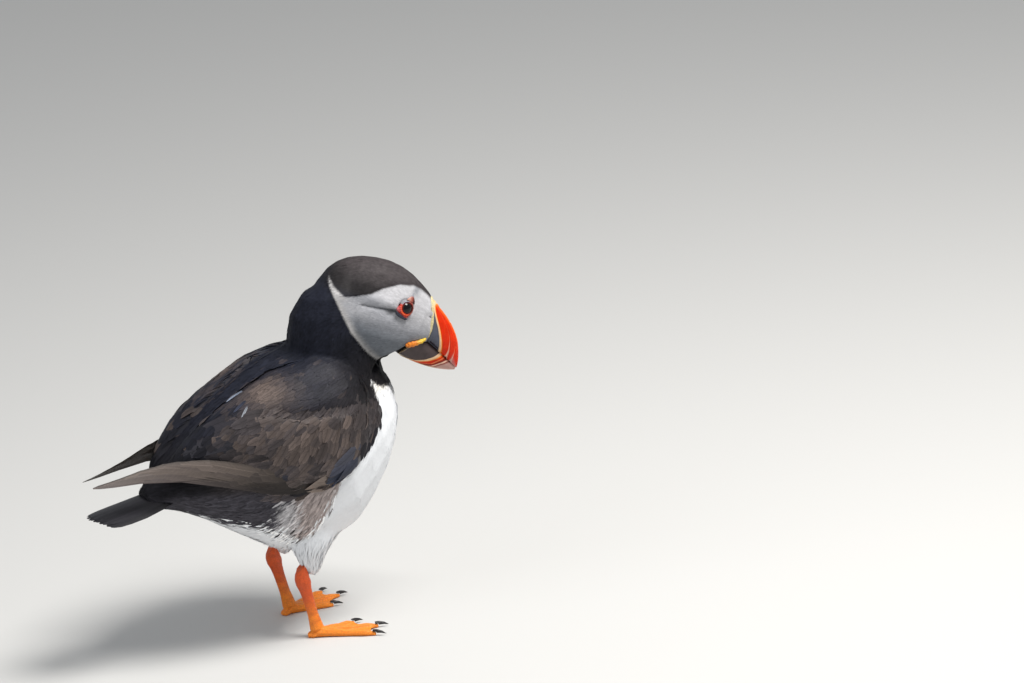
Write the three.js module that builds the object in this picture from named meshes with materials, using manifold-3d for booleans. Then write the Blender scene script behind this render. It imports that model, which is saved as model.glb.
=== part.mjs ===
// Atlantic puffin, life size, standing hunched, its head turned a little to the right and the bill dipped.
// Millimetres, +Z up, +X the way the breast faces, +Y the bird's left. The origin is on the floor, under the
// middle of the bird's box. Every body part is one closed solid, and neighbours are parted by a thin cut.
import * as THREE from 'three';
import { mergeVertices } from 'three/addons/utils/BufferGeometryUtils.js';
import Module from 'manifold-3d';

const wasm = await Module();
wasm.setup();

// ---- Driving dimensions ------------------------------------------------------------------------------
const CUT = 0.3;                     // the gap between neighbouring parts
const ORIGIN_SHIFT = [14.9, 0, 0];   // from the stance frame to the middle of the box
const LEFT = 1;
const RIGHT = -1;

// The head's frame: its middle in the stance frame, turned to the right and dipped.
const HEAD_AT = [50, -12, 170];
const HEAD_YAW = -26;
const HEAD_DIP = 27;
const HEAD_POWER = 2.1;

// The trunk's frame: an axis through the middle of the body, rising to the front.
const TRUNK_AT = [0, 0, 97];
const TRUNK_RISE = 18;

// The legs, in the stance frame: where each shank meets its toes, how far the toes turn out, and the ankle.
const FOOT_AT = { [LEFT]: [0, 21, 0], [RIGHT]: [-4, -22, 0] };
const FOOT_TURN = { [LEFT]: 10, [RIGHT]: 16 };
const ANKLE_AT = { [LEFT]: [-7, 21, 35], [RIGHT]: [-10, -22, 35] };

const degrees = THREE.MathUtils.degToRad;
const vector = (x, y, z) => new THREE.Vector3(x, y, z);

// ---- Shape tools -------------------------------------------------------------------------------------

// A smooth curve through values at rising places, with no overshoot: a monotone cubic.
function through(places, values) {
  const last = places.length - 1;
  const rise = (i) => (values[i + 1] - values[i]) / (places[i + 1] - places[i]);
  const slope = places.map((_, i) => (i < last ? rise(i) : 0));
  const tangent = places.map((_, i) => {
    if (i === 0) return slope[0];
    if (i === last) return slope[last - 1];
    const [a, b] = [slope[i - 1], slope[i]];
    return a * b <= 0 ? 0 : (2 * a * b) / (a + b);
  });
  return (x) => {
    let i = 0;
    while (i < last - 1 && x > places[i + 1]) i += 1;
    const span = places[i + 1] - places[i];
    const t = THREE.MathUtils.clamp((x - places[i]) / span, 0, 1);
    const [t2, t3] = [t * t, t * t * t];
    return (
      (2 * t3 - 3 * t2 + 1) * values[i] +
      (t3 - 2 * t2 + t) * span * tangent[i] +
      (3 * t2 - 2 * t3) * values[i + 1] +
      (t3 - t2) * span * tangent[i + 1]
    );
  };
}

// Rows of a table of stations, as one smooth curve for each column; the first column is the place.
function stations(names, rows) {
  const places = rows.map((row) => row[0]);
  const curves = { from: places[0], to: places.at(-1) };
  names.forEach((name, i) => {
    curves[name] = through(places, rows.map((row) => row[i + 1]));
  });
  return curves;
}

// Places from 0 to 1 that crowd towards both ends, for forms with round ends.
const even = (count) => Array.from({ length: count + 1 }, (_, i) => i / count);
const crowded = (count) => even(count).map((share) => (1 - Math.cos(Math.PI * share)) / 2);

// A circular arc from p to q in a plane, standing off its chord by bulge at the middle.
function arc(p, q, bulge) {
  const [dx, dy] = [q[0] - p[0], q[1] - p[1]];
  const length = Math.hypot(dx, dy);
  const radius = (length * length) / (8 * bulge) + bulge / 2;
  const half = Math.asin(length / 2 / radius);
  return (t) => {
    const angle = (2 * t - 1) * half;
    const along = length / 2 + radius * Math.sin(angle);
    const off = radius * Math.cos(angle) - radius + bulge;
    return [p[0] + (dx * along - dy * off) / length, p[1] + (dy * along + dx * off) / length];
  };
}

// A closed geometry over rings of equal count, each end closed by a fan.
function loft(rings) {
  const count = rings[0].length;
  const points = rings.flat();
  const faces = [];
  const at = (ring, i) => ring * count + (i % count);
  for (let r = 0; r + 1 < rings.length; r += 1) {
    for (let i = 0; i < count; i += 1) {
      faces.push(at(r, i), at(r + 1, i + 1), at(r + 1, i));
      faces.push(at(r, i), at(r, i + 1), at(r + 1, i + 1));
    }
  }
  for (const [ring, turned] of [[0, false], [rings.length - 1, true]]) {
    const middle = vector(0, 0, 0);
    rings[ring].forEach((p) => middle.add(p));
    const hub = points.push(middle.divideScalar(count)) - 1;
    for (let i = 0; i < count; i += 1) {
      faces.push(...(turned ? [hub, at(ring, i), at(ring, i + 1)] : [hub, at(ring, i + 1), at(ring, i)]));
    }
  }
  return new THREE.BufferGeometry().setFromPoints(points).setIndex(faces);
}

// A ring of points about a centre: across and up are unit vectors, low and high the reach down and up,
// side the half width, power 2 for an ellipse and more for a squarer form. lean narrows the top.
function ring(centre, across, up, { side, low, high, power = 2, lean = 0 }, count) {
  const middle = (high + low) / 2;
  const half = (high - low) / 2;
  return Array.from({ length: count }, (_, i) => {
    const angle = (2 * Math.PI * i) / count;
    const [c, s] = [Math.cos(angle), Math.sin(angle)];
    const u = Math.sign(c) * Math.abs(c) ** (2 / power);
    const v = Math.sign(s) * Math.abs(s) ** (2 / power);
    return centre
      .clone()
      .addScaledVector(across, u * side * (1 - lean * v))
      .addScaledVector(up, middle + v * half);
  });
}

// A solid for cutting and joining, from any closed geometry, placed by a matrix.
function solid(geometry, matrix = new THREE.Matrix4()) {
  const bare = geometry.clone();
  Object.keys(bare.attributes).forEach((name) => name !== 'position' && bare.deleteAttribute(name));
  const merged = mergeVertices(bare.applyMatrix4(matrix), 1e-4);
  const mesh = new wasm.Mesh({
    numProp: 3,
    vertProperties: new Float32Array(merged.attributes.position.array),
    triVerts: new Uint32Array(merged.index.array),
  });
  const made = new wasm.Manifold(mesh);
  return made.volume() < 0 ? solid(turnedOut(merged)) : made;
}

function turnedOut(geometry) {
  const index = Array.from(geometry.index.array);
  for (let i = 0; i < index.length; i += 3) [index[i + 1], index[i + 2]] = [index[i + 2], index[i + 1]];
  return geometry.clone().setIndex(index);
}

const carve = (piece, ...others) => others.reduce((left, other) => left.subtract(other), piece);
const join = (...pieces) => pieces.reduce((all, piece) => all.add(piece));

// The largest single body of a solid, as a geometry.
function geometryOf(made) {
  const whole = made.decompose().sort((a, b) => b.volume() - a.volume())[0];
  const { numProp, vertProperties, triVerts } = whole.getMesh();
  const position = new Float32Array((vertProperties.length / numProp) * 3);
  for (let i = 0; i < position.length / 3; i += 1) {
    position.set(vertProperties.subarray(i * numProp, i * numProp + 3), i * 3);
  }
  const geometry = new THREE.BufferGeometry();
  geometry.setAttribute('position', new THREE.BufferAttribute(position, 3));
  geometry.setIndex(new THREE.BufferAttribute(triVerts, 1));
  geometry.computeVertexNormals();
  return geometry;
}

const finish = {
  blackPlumage: new THREE.MeshStandardMaterial({ color: 0x1d1b1e, roughness: 0.75 }),
  wingPlumage: new THREE.MeshStandardMaterial({ color: 0x2b2729, roughness: 0.7 }),
  whitePlumage: new THREE.MeshStandardMaterial({ color: 0xe9e8ea, roughness: 0.85 }),
  facePlumage: new THREE.MeshStandardMaterial({ color: 0xb4b3b5, roughness: 0.85 }),
  billRed: new THREE.MeshStandardMaterial({ color: 0xe2431c, roughness: 0.4 }),
  billCream: new THREE.MeshStandardMaterial({ color: 0xe8d9a0, roughness: 0.5 }),
  gapeYellow: new THREE.MeshStandardMaterial({ color: 0xe9a01c, roughness: 0.6 }),
  eyeDark: new THREE.MeshStandardMaterial({ color: 0x14100e, roughness: 0.08 }),
  orbitRed: new THREE.MeshStandardMaterial({ color: 0xc23a20, roughness: 0.55 }),
  plateGrey: new THREE.MeshStandardMaterial({ color: 0x4b5262, roughness: 0.6 }),
  legOrange: new THREE.MeshStandardMaterial({ color: 0xf0761d, roughness: 0.5 }),
  clawBlack: new THREE.MeshStandardMaterial({ color: 0x241d1a, roughness: 0.4 }),
};

// Adds a solid, given in the stance frame, to a group as a named mesh placed by the middle of its box.
function put(group, name, made, material) {
  const geometry = geometryOf(made).applyMatrix4(group.matrix.clone().invert());
  geometry.computeBoundingBox();
  const middle = geometry.boundingBox.getCenter(vector(0, 0, 0));
  const mesh = new THREE.Mesh(geometry.translate(-middle.x, -middle.y, -middle.z), material.clone());
  mesh.name = name;
  mesh.position.copy(middle);
  group.add(mesh);
}

// A named group of the bird at a place, turned by its three angles in degrees.
function framed(name, place, [x, y, z]) {
  const group = new THREE.Group();
  group.name = name;
  group.position.set(...place);
  group.rotation.set(degrees(x), degrees(y), degrees(z), 'ZYX');
  group.updateMatrix();
  return group;
}

// ---- Frames ------------------------------------------------------------------------------------------
const headGroup = framed('head_group', HEAD_AT, [0, HEAD_DIP, HEAD_YAW]);
const trunkGroup = framed('trunk_group', TRUNK_AT, [0, -TRUNK_RISE, 0]);
const headMatrix = headGroup.matrix;
const trunkMatrix = trunkGroup.matrix;

// ---- Trunk: one egg-shaped form, from the upper breast to the base of the tail -----------------------
// place: along the trunk's axis; high, low: the back and the belly; side: the half width.
const TRUNK = stations(['high', 'low', 'side'], [
  [-84, 24, 14, 8],
  [-68, 32.5, 2, 18],
  [-50, 40, -20, 28],
  [-32, 46, -42, 35.5],
  [-12, 50.5, -54, 40],
  [10, 54, -54, 41],
  [30, 53, -43.5, 39],
  [46, 45, -30, 34],
  [58, 32, -14, 25],
  [65.5, 16, 0, 9],
]);

const TRUNK_POWER = 2.15;

// A point on the trunk or off it, in the trunk's frame. The angle is 0 at the side, 90 at the back.
function trunkPoint(place, angle, side, off) {
  const [high, low] = [TRUNK.high(place) + off, TRUNK.low(place) - off];
  const [c, s] = [Math.cos(angle), Math.sin(angle)];
  const u = Math.sign(c) * Math.abs(c) ** (2 / TRUNK_POWER);
  const v = Math.sign(s) * Math.abs(s) ** (2 / TRUNK_POWER);
  return vector(place, side * u * (TRUNK.side(place) + off), (high + low) / 2 + (v * (high - low)) / 2);
}

function trunkForm(grow) {
  const COUNT = 22;
  const rings = crowded(15).map((t) => {
    const place = THREE.MathUtils.lerp(TRUNK.from - grow, TRUNK.to + grow, t);
    return even(COUNT).slice(1).map((share) => trunkPoint(place, 2 * Math.PI * share, LEFT, grow));
  });
  return solid(loft(rings), trunkMatrix);
}

// ---- Neck: a thick column from inside the breast up into the back of the head ------------------------
// place: the height; x, y: its middle; reach: the half depth fore and aft; side: the half width.
const NECK = stations(['x', 'y', 'reach', 'side'], [
  [108, 25, 0, 25, 25],
  [122, 27.5, 0, 30, 31],
  [136, 28.5, -1, 28, 29],
  [150, 28, -2, 25, 25],
  [162, 27.5, -4, 23, 22.5],
  [172, 28, -6, 22, 20.5],
  [181, 31, -8, 19.5, 17.5],
  [188, 35, -10, 15, 13],
  [192.5, 39, -11, 8, 8],
]);

function neckForm(grow) {
  const rings = even(8).map((t) => {
    const height = THREE.MathUtils.lerp(NECK.from, NECK.to, t);
    return ring(vector(NECK.x(height), NECK.y(height), height), vector(0, -1, 0), vector(1, 0, 0), {
      side: NECK.side(height) + grow,
      low: -NECK.reach(height) - grow,
      high: NECK.reach(height) + grow,
    }, 16);
  });
  return solid(loft(rings));
}

// ---- Head: in its own frame, from the back of the skull to the feathered edge behind the bill --------
// high, low: the crown and the chin; side: the half width; lean: how much narrower the crown is.
const HEAD = stations(['high', 'low', 'side', 'lean'], [
  [-33, 2, -10, 6, 0],
  [-29, 13, -20, 13, 0.05],
  [-21, 20.5, -26, 18, 0.1],
  [-11, 25, -28.5, 20, 0.13],
  [0, 27, -29, 20, 0.16],
  [9, 26.2, -28, 18.8, 0.18],
  [16, 23.8, -25.5, 16.6, 0.2],
  [22, 20.8, -22.5, 13.6, 0.2],
  [28, 17.2, -20, 9.6, 0.18],
  [33, 10, -16, 6.6, 0.1],
]);

function headForm(grow) {
  const rings = crowded(14).map((t) => {
    const place = THREE.MathUtils.lerp(HEAD.from - grow, HEAD.to + grow, t);
    return ring(vector(place, 0, 0), vector(0, 1, 0), vector(0, 0, 1), {
      side: HEAD.side(place) + grow,
      low: HEAD.low(place) - grow,
      high: HEAD.high(place) + grow,
      lean: HEAD.lean(place),
      power: HEAD_POWER,
    }, 20);
  });
  return solid(loft(rings), headMatrix);
}

// ---- Bill: plates laid down along growth lines, which fan out from the base to the tip ---------------
// Each edge is an arc in the head's middle plane, given as forward and up from the head's middle.
const CULMEN = arc([28.4, 17.2], [54.4, -14.4], 4.8);
const UPPER_EDGE = arc([31.2, -6], [54.2, -14.9], 0.5);
const LOWER_EDGE = arc([30.6, -7], [53, -15.6], 0.5);
const GONYS = arc([23.6, -19.2], [52.6, -16.4], -2.8);
// share of the way to the tip; side: the half width of the plates.
const UPPER_WIDTH = stations(['side'], [
  [0, 5.6],
  [0.14, 5.5],
  [0.3, 5.1],
  [0.34, 5.35],
  [0.4, 4.95],
  [0.52, 4.4],
  [0.56, 4.15],
  [0.61, 4.3],
  [0.72, 3.55],
  [0.76, 3.25],
  [0.81, 3.3],
  [0.93, 2.1],
  [1, 0.9],
]);
const LOWER_WIDTH = stations(['side'], [
  [0, 5.2],
  [0.3, 4.7],
  [0.5, 4.1],
  [0.75, 3],
  [0.93, 1.8],
  [1, 0.8],
]);

// A mandible between its outer edge and its cutting edge, from one share of its length to another.
function mandible(outer, inner, width, { from = 0, to = 1, grow = 0, steps = 16, power = 2.4, lean = 0.25 }) {
  const rings = even(steps).map((t) => {
    const share = THREE.MathUtils.lerp(from, to, t);
    const [a, b] = [outer(share), inner(share)];
    const up = vector(a[0] - b[0], 0, a[1] - b[1]);
    const half = up.length() / 2 + grow;
    return ring(vector((a[0] + b[0]) / 2, 0, (a[1] + b[1]) / 2), vector(0, 1, 0), up.normalize(), {
      side: width(Math.max(share, 0)) + grow,
      low: -half,
      high: half,
      power,
      lean,
    }, 12);
  });
  return solid(loft(rings), headMatrix);
}

const upperForm = (options) => mandible(CULMEN, UPPER_EDGE, UPPER_WIDTH.side, options);
const lowerForm = (options) => mandible(GONYS, LOWER_EDGE, LOWER_WIDTH.side, { steps: 9, ...options });

// The cere: a ridged band of bare skin round the base of the upper mandible.
const CERE_WIDE = 0.085;
const CERE_PROUD = 0.75;
const UPPER_FROM = 0.01;    // where the upper mandible itself starts, just clear of the cere

function cereForm(grow) {
  return upperForm({ from: -CERE_WIDE, to: 0, grow: CERE_PROUD + grow, steps: 3 });
}

// ---- Pieces set in the side of the face --------------------------------------------------------------

// The half width of the head at a place along it and a height over its axis.
function cheek(place, height) {
  const [high, low] = [HEAD.high(place), HEAD.low(place)];
  const v = THREE.MathUtils.clamp((height - (high + low) / 2) / ((high - low) / 2), -0.98, 0.98);
  const s = Math.abs(v) ** (HEAD_POWER / 2);
  return HEAD.side(place) * (1 - HEAD.lean(place) * v) * (1 - s * s) ** (1 / HEAD_POWER);
}

// The matrix of a piece on the face: its x along the head, its y up, its z out of the cheek.
function onCheek(side, place, height, turn, sunk) {
  const out = vector(cheek(place, height) - cheek(place + 2, height), 2 * side, 0)
    .add(vector(0, 0, cheek(place, height) - cheek(place, height + 2)))
    .normalize();
  const along = vector(Math.cos(degrees(turn)), 0, Math.sin(degrees(turn)));
  const up = new THREE.Vector3().crossVectors(out, along).multiplyScalar(-side).normalize();
  along.crossVectors(up, out).multiplyScalar(-side);
  const at = vector(place, side * cheek(place, height), height).addScaledVector(out, -sunk);
  return new THREE.Matrix4().makeBasis(along, up, out).setPosition(at).premultiply(headMatrix);
}

const EYE = [16.2, 9.5];
const EYE_RADIUS = 3.9;
const EYE_SUNK = 2.3;
const ORBIT_RADIUS = 3.75;
const ORBIT_TUBE = 0.75;
const ORBIT_STRETCH = [1.08, 0.94, 1];

const eyeForm = (side, grow) =>
  solid(new THREE.SphereGeometry(EYE_RADIUS + grow, 12, 8), onCheek(side, ...EYE, 0, EYE_SUNK));

function orbitForm(side, grow) {
  const torus = new THREE.TorusGeometry(ORBIT_RADIUS, ORBIT_TUBE + grow, 4, 11);
  torus.scale(...ORBIT_STRETCH);
  return solid(torus, onCheek(side, ...EYE, 0, 0));
}

// The horny plates: an upright wedge over the eye, and a low bar under it.
const PLATE_BEVEL = 0.35;

function plate(outline, thick) {
  const shape = new THREE.Shape(outline.map(([x, y]) => new THREE.Vector2(x, y)));
  const made = new THREE.ExtrudeGeometry(shape, {
    depth: thick,
    bevelEnabled: true,
    bevelThickness: PLATE_BEVEL,
    bevelSize: PLATE_BEVEL,
    bevelSegments: 1,
  });
  return made.translate(0, 0, PLATE_BEVEL - thick);
}

const UPPER_PLATE_AT = [EYE[0] + 0.5, EYE[1] + 6];
const UPPER_PLATE = [[-2.6, -1.5], [2.4, -1.7], [1.9, 0.1], [0.9, 2.3], [0.2, 3], [-0.6, 1.9], [-1.8, -0.1]];
const LOWER_PLATE_AT = [EYE[0] - 1.6, EYE[1] - 5.4];
const LOWER_PLATE = [[-4.2, 0.8], [-3.2, -0.7], [0, -1.3], [3.6, -0.6], [4.4, 0.8], [2.2, 1.1], [-1.8, 1.1]];

const LOWER_PLATE_TURN = -16;
const PLATE_DEEP = 1.6;
const PLATE_SUNK = -0.1;

const upperPlate = (side) =>
  solid(plate(UPPER_PLATE, PLATE_DEEP), onCheek(side, ...UPPER_PLATE_AT, 0, PLATE_SUNK));
const lowerPlate = (side) =>
  solid(plate(LOWER_PLATE, PLATE_DEEP), onCheek(side, ...LOWER_PLATE_AT, LOWER_PLATE_TURN, PLATE_SUNK));

// The wrinkled skin at each corner of the mouth.
const ROSETTE = [27.6, -8.2];
const ROSETTE_REACH = [5.4, 2.6, 2.2];
const ROSETTE_TURN = 56;
const ROSETTE_SUNK = 0.4;

function rosetteForm(side, grow) {
  const pad = new THREE.SphereGeometry(1, 10, 6);
  pad.scale(...ROSETTE_REACH.map((reach) => reach + grow));
  return solid(pad, onCheek(side, ...ROSETTE, ROSETTE_TURN, ROSETTE_SUNK));
}

// ---- Tail: a short fan -------------------------------------------------------------------------------
// place: how far behind the middle; z: its height; wide: half width; thick: half thickness.
const TAIL = stations(['z', 'wide', 'thick'], [
  [66, 94, 9, 5],
  [78, 91, 13, 4],
  [92, 88.5, 16, 2.8],
  [106, 86.5, 17, 2],
  [115, 85.5, 14, 1.4],
  [119, 85, 8, 0.9],
]);

function tailForm(grow) {
  const rings = even(8).map((t) => {
    const place = THREE.MathUtils.lerp(TAIL.from - grow, TAIL.to + grow, t);
    return ring(vector(-place, 0, TAIL.z(place)), vector(0, 1, 0), vector(0, 0, 1), {
      side: TAIL.wide(place) + grow,
      low: -TAIL.thick(place) - grow,
      high: TAIL.thick(place) + grow,
      power: 2.6,
    }, 12);
  });
  return solid(loft(rings));
}

// ---- Wings, folded against the trunk -----------------------------------------------------------------
// A cover lies on the trunk between two angles round it, 0 being straight out to the side and 90 the spine;
// crest is the share of the way up at which it stands highest.
const COVER_ROOT = 2; // how far a cover is carried into the trunk before the trunk is cut from it

function coverForm(table, side, grow) {
  const COUNT = 6;
  const rings = crowded(10).map((t) => {
    const place = THREE.MathUtils.lerp(table.from - grow, table.to + grow, t);
    const spare = THREE.MathUtils.radToDeg(grow / TRUNK.side(place));
    const [low, high] = [table.lower(place) - spare, table.upper(place) + spare];
    const bend = Math.log(0.5) / Math.log(table.crest(place));
    const point = (share, off) => {
      const angle = degrees(THREE.MathUtils.lerp(low, high, share));
      return trunkPoint(place, angle, side, off);
    };
    const outer = even(COUNT).map((share) => {
      const swell = Math.sin(Math.PI * THREE.MathUtils.lerp(0.05, 0.95, share) ** bend) ** 0.6;
      return point(share, table.thick(place) * swell + grow);
    });
    const inner = even(COUNT).reverse().map((share) => point(share, -COVER_ROOT));
    return [...outer, ...inner];
  });
  return solid(loft(rings), trunkMatrix);
}

// place: along the trunk's axis; lower, upper: the edges; thick: how far it stands off the trunk.
const COVERTS = stations(['lower', 'upper', 'thick', 'crest'], [
  [-70, 46, 70, 1.5, 0.5],
  [-60, 38, 76, 5, 0.5],
  [-46, 30, 78, 7.5, 0.5],
  [-28, 16, 78, 8.5, 0.52],
  [-6, 1, 76, 8.5, 0.5],
  [12, -6, 71, 7.5, 0.45],
  [26, -4, 64, 6.5, 0.45],
  [37, 6, 54, 4.5, 0.45],
  [44, 20, 42, 1.5, 0.45],
]);
const SECONDARIES = stations(['lower', 'upper', 'thick', 'crest'], [
  [-68, 34, 60, 1.5, 0.5],
  [-52, 18, 56, 3.6, 0.4],
  [-32, 4, 44, 4.6, 0.4],
  [-14, -3, 34, 5, 0.4],
  [4, -11, 30, 5, 0.4],
  [20, -12, 30, 4, 0.4],
  [35, 0, 28, 1.5, 0.4],
]);

// The primaries: one slim blade, from the wrist's underside to over the tail.
// place: how far behind the middle; y, z: its middle; wide: half its breadth; thick: half its depth;
// tilt: how far its face is turned up.
const PRIMARIES = stations(['y', 'z', 'wide', 'thick', 'tilt'], [
  [-2, 43.5, 91, 3, 1.2, 6],
  [14, 43, 92, 5.5, 1.7, 8],
  [36, 38.5, 96, 6.8, 1.8, 14],
  [58, 28.5, 103, 6.8, 1.7, 24],
  [76, 18, 105.5, 6.2, 1.5, 36],
  [90, 12, 105, 5, 1.3, 46],
  [107, 8, 103.5, 3.4, 1, 55],
  [118, 6.4, 102.4, 1.3, 0.7, 58],
]);

function primariesForm(side, grow) {
  const rings = even(11).map((t) => {
    const place = THREE.MathUtils.lerp(PRIMARIES.from - grow, PRIMARIES.to + grow, t);
    const tilt = degrees(PRIMARIES.tilt(place));
    const out = vector(0, side * Math.cos(tilt), Math.sin(tilt));
    const up = vector(0, -side * Math.sin(tilt), Math.cos(tilt));
    return ring(vector(-place, side * PRIMARIES.y(place), PRIMARIES.z(place)), out, up, {
      side: PRIMARIES.thick(place) + grow,
      low: -PRIMARIES.wide(place) - grow,
      high: PRIMARIES.wide(place) + grow,
      power: 2.3,
    }, 8);
  });
  return solid(loft(rings));
}

// ---- Legs --------------------------------------------------------------------------------------------

// A limb between two points: a table gives its half depth fore and aft and its half width along the way.
function limb(from, to, table, grow, count) {
  const [start, end] = [vector(...from), vector(...to)];
  const along = end.clone().sub(start).normalize();
  const across = vector(0, 1, 0);
  const fore = new THREE.Vector3().crossVectors(along, across).normalize();
  across.crossVectors(fore, along);
  const length = start.distanceTo(end);
  const rings = even(8).map((t) => {
    const share = THREE.MathUtils.lerp(-grow / length, 1 + grow / length, t);
    return ring(start.clone().lerp(end, share), across, fore, {
      side: table.side(share) + grow,
      low: -table.reach(share) - grow,
      high: table.reach(share) + grow,
    }, count);
  });
  return solid(loft(rings));
}

const THIGH = stations(['reach', 'side'], [
  [0, 15, 11],
  [0.35, 14, 11],
  [0.7, 11.5, 9.5],
  [0.88, 9, 7.6],
  [1, 5, 4.6],
]);
const SHANK = stations(['reach', 'side'], [
  [0, 4.2, 3.6],
  [0.12, 4.4, 3.5],
  [0.3, 3.3, 2.5],
  [0.7, 3, 2.3],
  [0.9, 3.6, 3],
  [1, 4, 3.6],
]);

// A thigh starts ahead of, inside and over its ankle, and ends in a cuff a little ahead of the ankle.
const THIGH_START = { ahead: 12, inward: 3, over: 30 };
const THIGH_CUFF = 4.5;
const SHANK_END = 4.5;

function thighForm(side, grow) {
  const [x, y, z] = ANKLE_AT[side];
  const start = [x + THIGH_START.ahead, y - side * THIGH_START.inward, z + THIGH_START.over];
  return limb(start, [x + THIGH_CUFF, y, z], THIGH, grow, 12);
}

function shankForm(side, grow) {
  const [x, y] = FOOT_AT[side];
  return limb(ANKLE_AT[side], [x, y, SHANK_END], SHANK, grow, 10);
}

// Three webbed toes; turn is out from straight ahead on a left foot, and the inner toe is the short one.
const TOES = {
  inner: { turn: -25, length: 24 },
  middle: { turn: 0, length: 33 },
  outer: { turn: 22, length: 32 },
};
// share of the toe; side: half its width; high: its depth.
const TOE = stations(['side', 'high'], [
  [-0.16, 1.6, 2.2],
  [-0.06, 3.4, 6],
  [0.08, 3.1, 5.6],
  [0.3, 2.1, 3.8],
  [0.5, 2.3, 4],
  [0.6, 1.8, 3.2],
  [0.8, 2, 3.3],
  [0.95, 1.5, 2.6],
  [1, 0.9, 1.8],
]);
const WEB_LOW = 0.5;
const WEB_THICK = 0.9;
const WEB_REACH = 0.96;   // share of each toe that the web runs along
const WEB_HOLLOW = 0.84;  // how far out its edge stays between two toes
const SOLE_DEEP = 0.5;

// A foot stands in a frame of its own: its x ahead, its y out to the side.
const footGroups = {
  [LEFT]: framed('left_foot_group', FOOT_AT[LEFT], [0, 0, FOOT_TURN[LEFT]]),
  [RIGHT]: framed('right_foot_group', FOOT_AT[RIGHT], [0, 0, -FOOT_TURN[RIGHT]]),
};
const onFoot = (made, side) => made.transform(footGroups[side].matrix.toArray());

const toeAt = ({ turn, length }, share, side) =>
  vector(Math.cos(degrees(turn)), side * Math.sin(degrees(turn)), 0).multiplyScalar(length * share);

function toeForm(toe, side, grow) {
  const along = toeAt(toe, 1 / toe.length, side);
  const across = vector(-along.y, along.x, 0);
  const rings = even(6).map((t) => {
    const spare = grow / toe.length;
    const share = THREE.MathUtils.lerp(TOE.from - spare, TOE.to + spare, t);
    return ring(toeAt(toe, share, side), across, vector(0, 0, 1), {
      side: TOE.side(share) + grow,
      low: -SOLE_DEEP - grow,
      high: TOE.high(share) + grow,
      power: 2.4,
    }, 6);
  });
  return solid(loft(rings));
}

function webForm(side) {
  const tips = [TOES.inner, TOES.middle, TOES.outer].map((toe) => toeAt(toe, WEB_REACH, side));
  const shape = new THREE.Shape();
  shape.moveTo(0, 0);
  shape.lineTo(tips[0].x, tips[0].y);
  for (let i = 0; i < 2; i += 1) {
    const hollow = tips[i].clone().add(tips[i + 1]).multiplyScalar(WEB_HOLLOW / 2);
    shape.quadraticCurveTo(hollow.x, hollow.y, tips[i + 1].x, tips[i + 1].y);
  }
  shape.closePath();
  const web = new THREE.ExtrudeGeometry(shape, { depth: WEB_THICK, bevelEnabled: false, curveSegments: 3 });
  return solid(web.translate(0, 0, WEB_LOW));
}

const floorBlock = solid(new THREE.BoxGeometry(200, 200, 20).translate(0, 0, -10));

function footForm(side) {
  const toes = Object.values(TOES).map((toe) => toeForm(toe, side, 0));
  return onFoot(carve(join(webForm(side), ...toes), floorBlock), side);
}

// A claw: curved down from the end of its toe, its point just clear of the floor.
const CLAW = {
  long: 7.5,
  root: 1.8,      // how far back its root lies in the toe
  thick: 1.35,
  point: 0.18,
  high: 1.9,
  arch: 0.5,
  drop: 1.1,
  narrow: 0.75,
};

function clawForm(toe, side) {
  const along = toeAt(toe, 1 / toe.length, side);
  const across = vector(-along.y, along.x, 0);
  const rings = even(3).map((t) => {
    const forward = toe.length - CLAW.root + t * CLAW.long;
    const radius = CLAW.thick * (1 - t) ** 0.7 + CLAW.point;
    const height = CLAW.high + CLAW.arch * Math.sin(Math.PI * t) - CLAW.drop * t * t;
    return ring(along.clone().multiplyScalar(forward).setZ(height), across, vector(0, 0, 1), {
      side: radius * CLAW.narrow,
      low: -radius,
      high: radius,
    }, 5);
  });
  return onFoot(carve(solid(loft(rings)), toeForm(toe, side, CUT)), side);
}

// ---- The bird ----------------------------------------------------------------------------------------
const SIDES = { left: LEFT, right: RIGHT };
const legs = framed('legs', [0, 0, 0], [0, 0, 0]);

const upper = upperForm({ from: UPPER_FROM });
const lower = lowerForm({});
const upperSocket = upperForm({ from: -0.05, to: 0.3, grow: CUT, steps: 4 });
const lowerSocket = lowerForm({ from: -0.02, to: 0.3, grow: CUT, steps: 4 });
const eyeSockets = [eyeForm(LEFT, CUT), eyeForm(RIGHT, CUT)];

const head = carve(headForm(0), cereForm(CUT), upperSocket, lowerSocket, ...eyeSockets);

put(headGroup, 'head', head, finish.facePlumage);
put(headGroup, 'upper_mandible', carve(upper, cereForm(CUT)), finish.billRed);
put(headGroup, 'lower_mandible', carve(lower, upperForm({ from: -0.05, grow: CUT })), finish.billRed);
put(headGroup, 'cere', cereForm(0), finish.billCream);
put(trunkGroup, 'neck', carve(neckForm(0), headForm(CUT)), finish.blackPlumage);
put(trunkGroup, 'trunk', carve(trunkForm(0), neckForm(CUT), headForm(CUT)), finish.whitePlumage);
put(trunkGroup, 'tail', carve(tailForm(0), trunkForm(CUT)), finish.blackPlumage);

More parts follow.
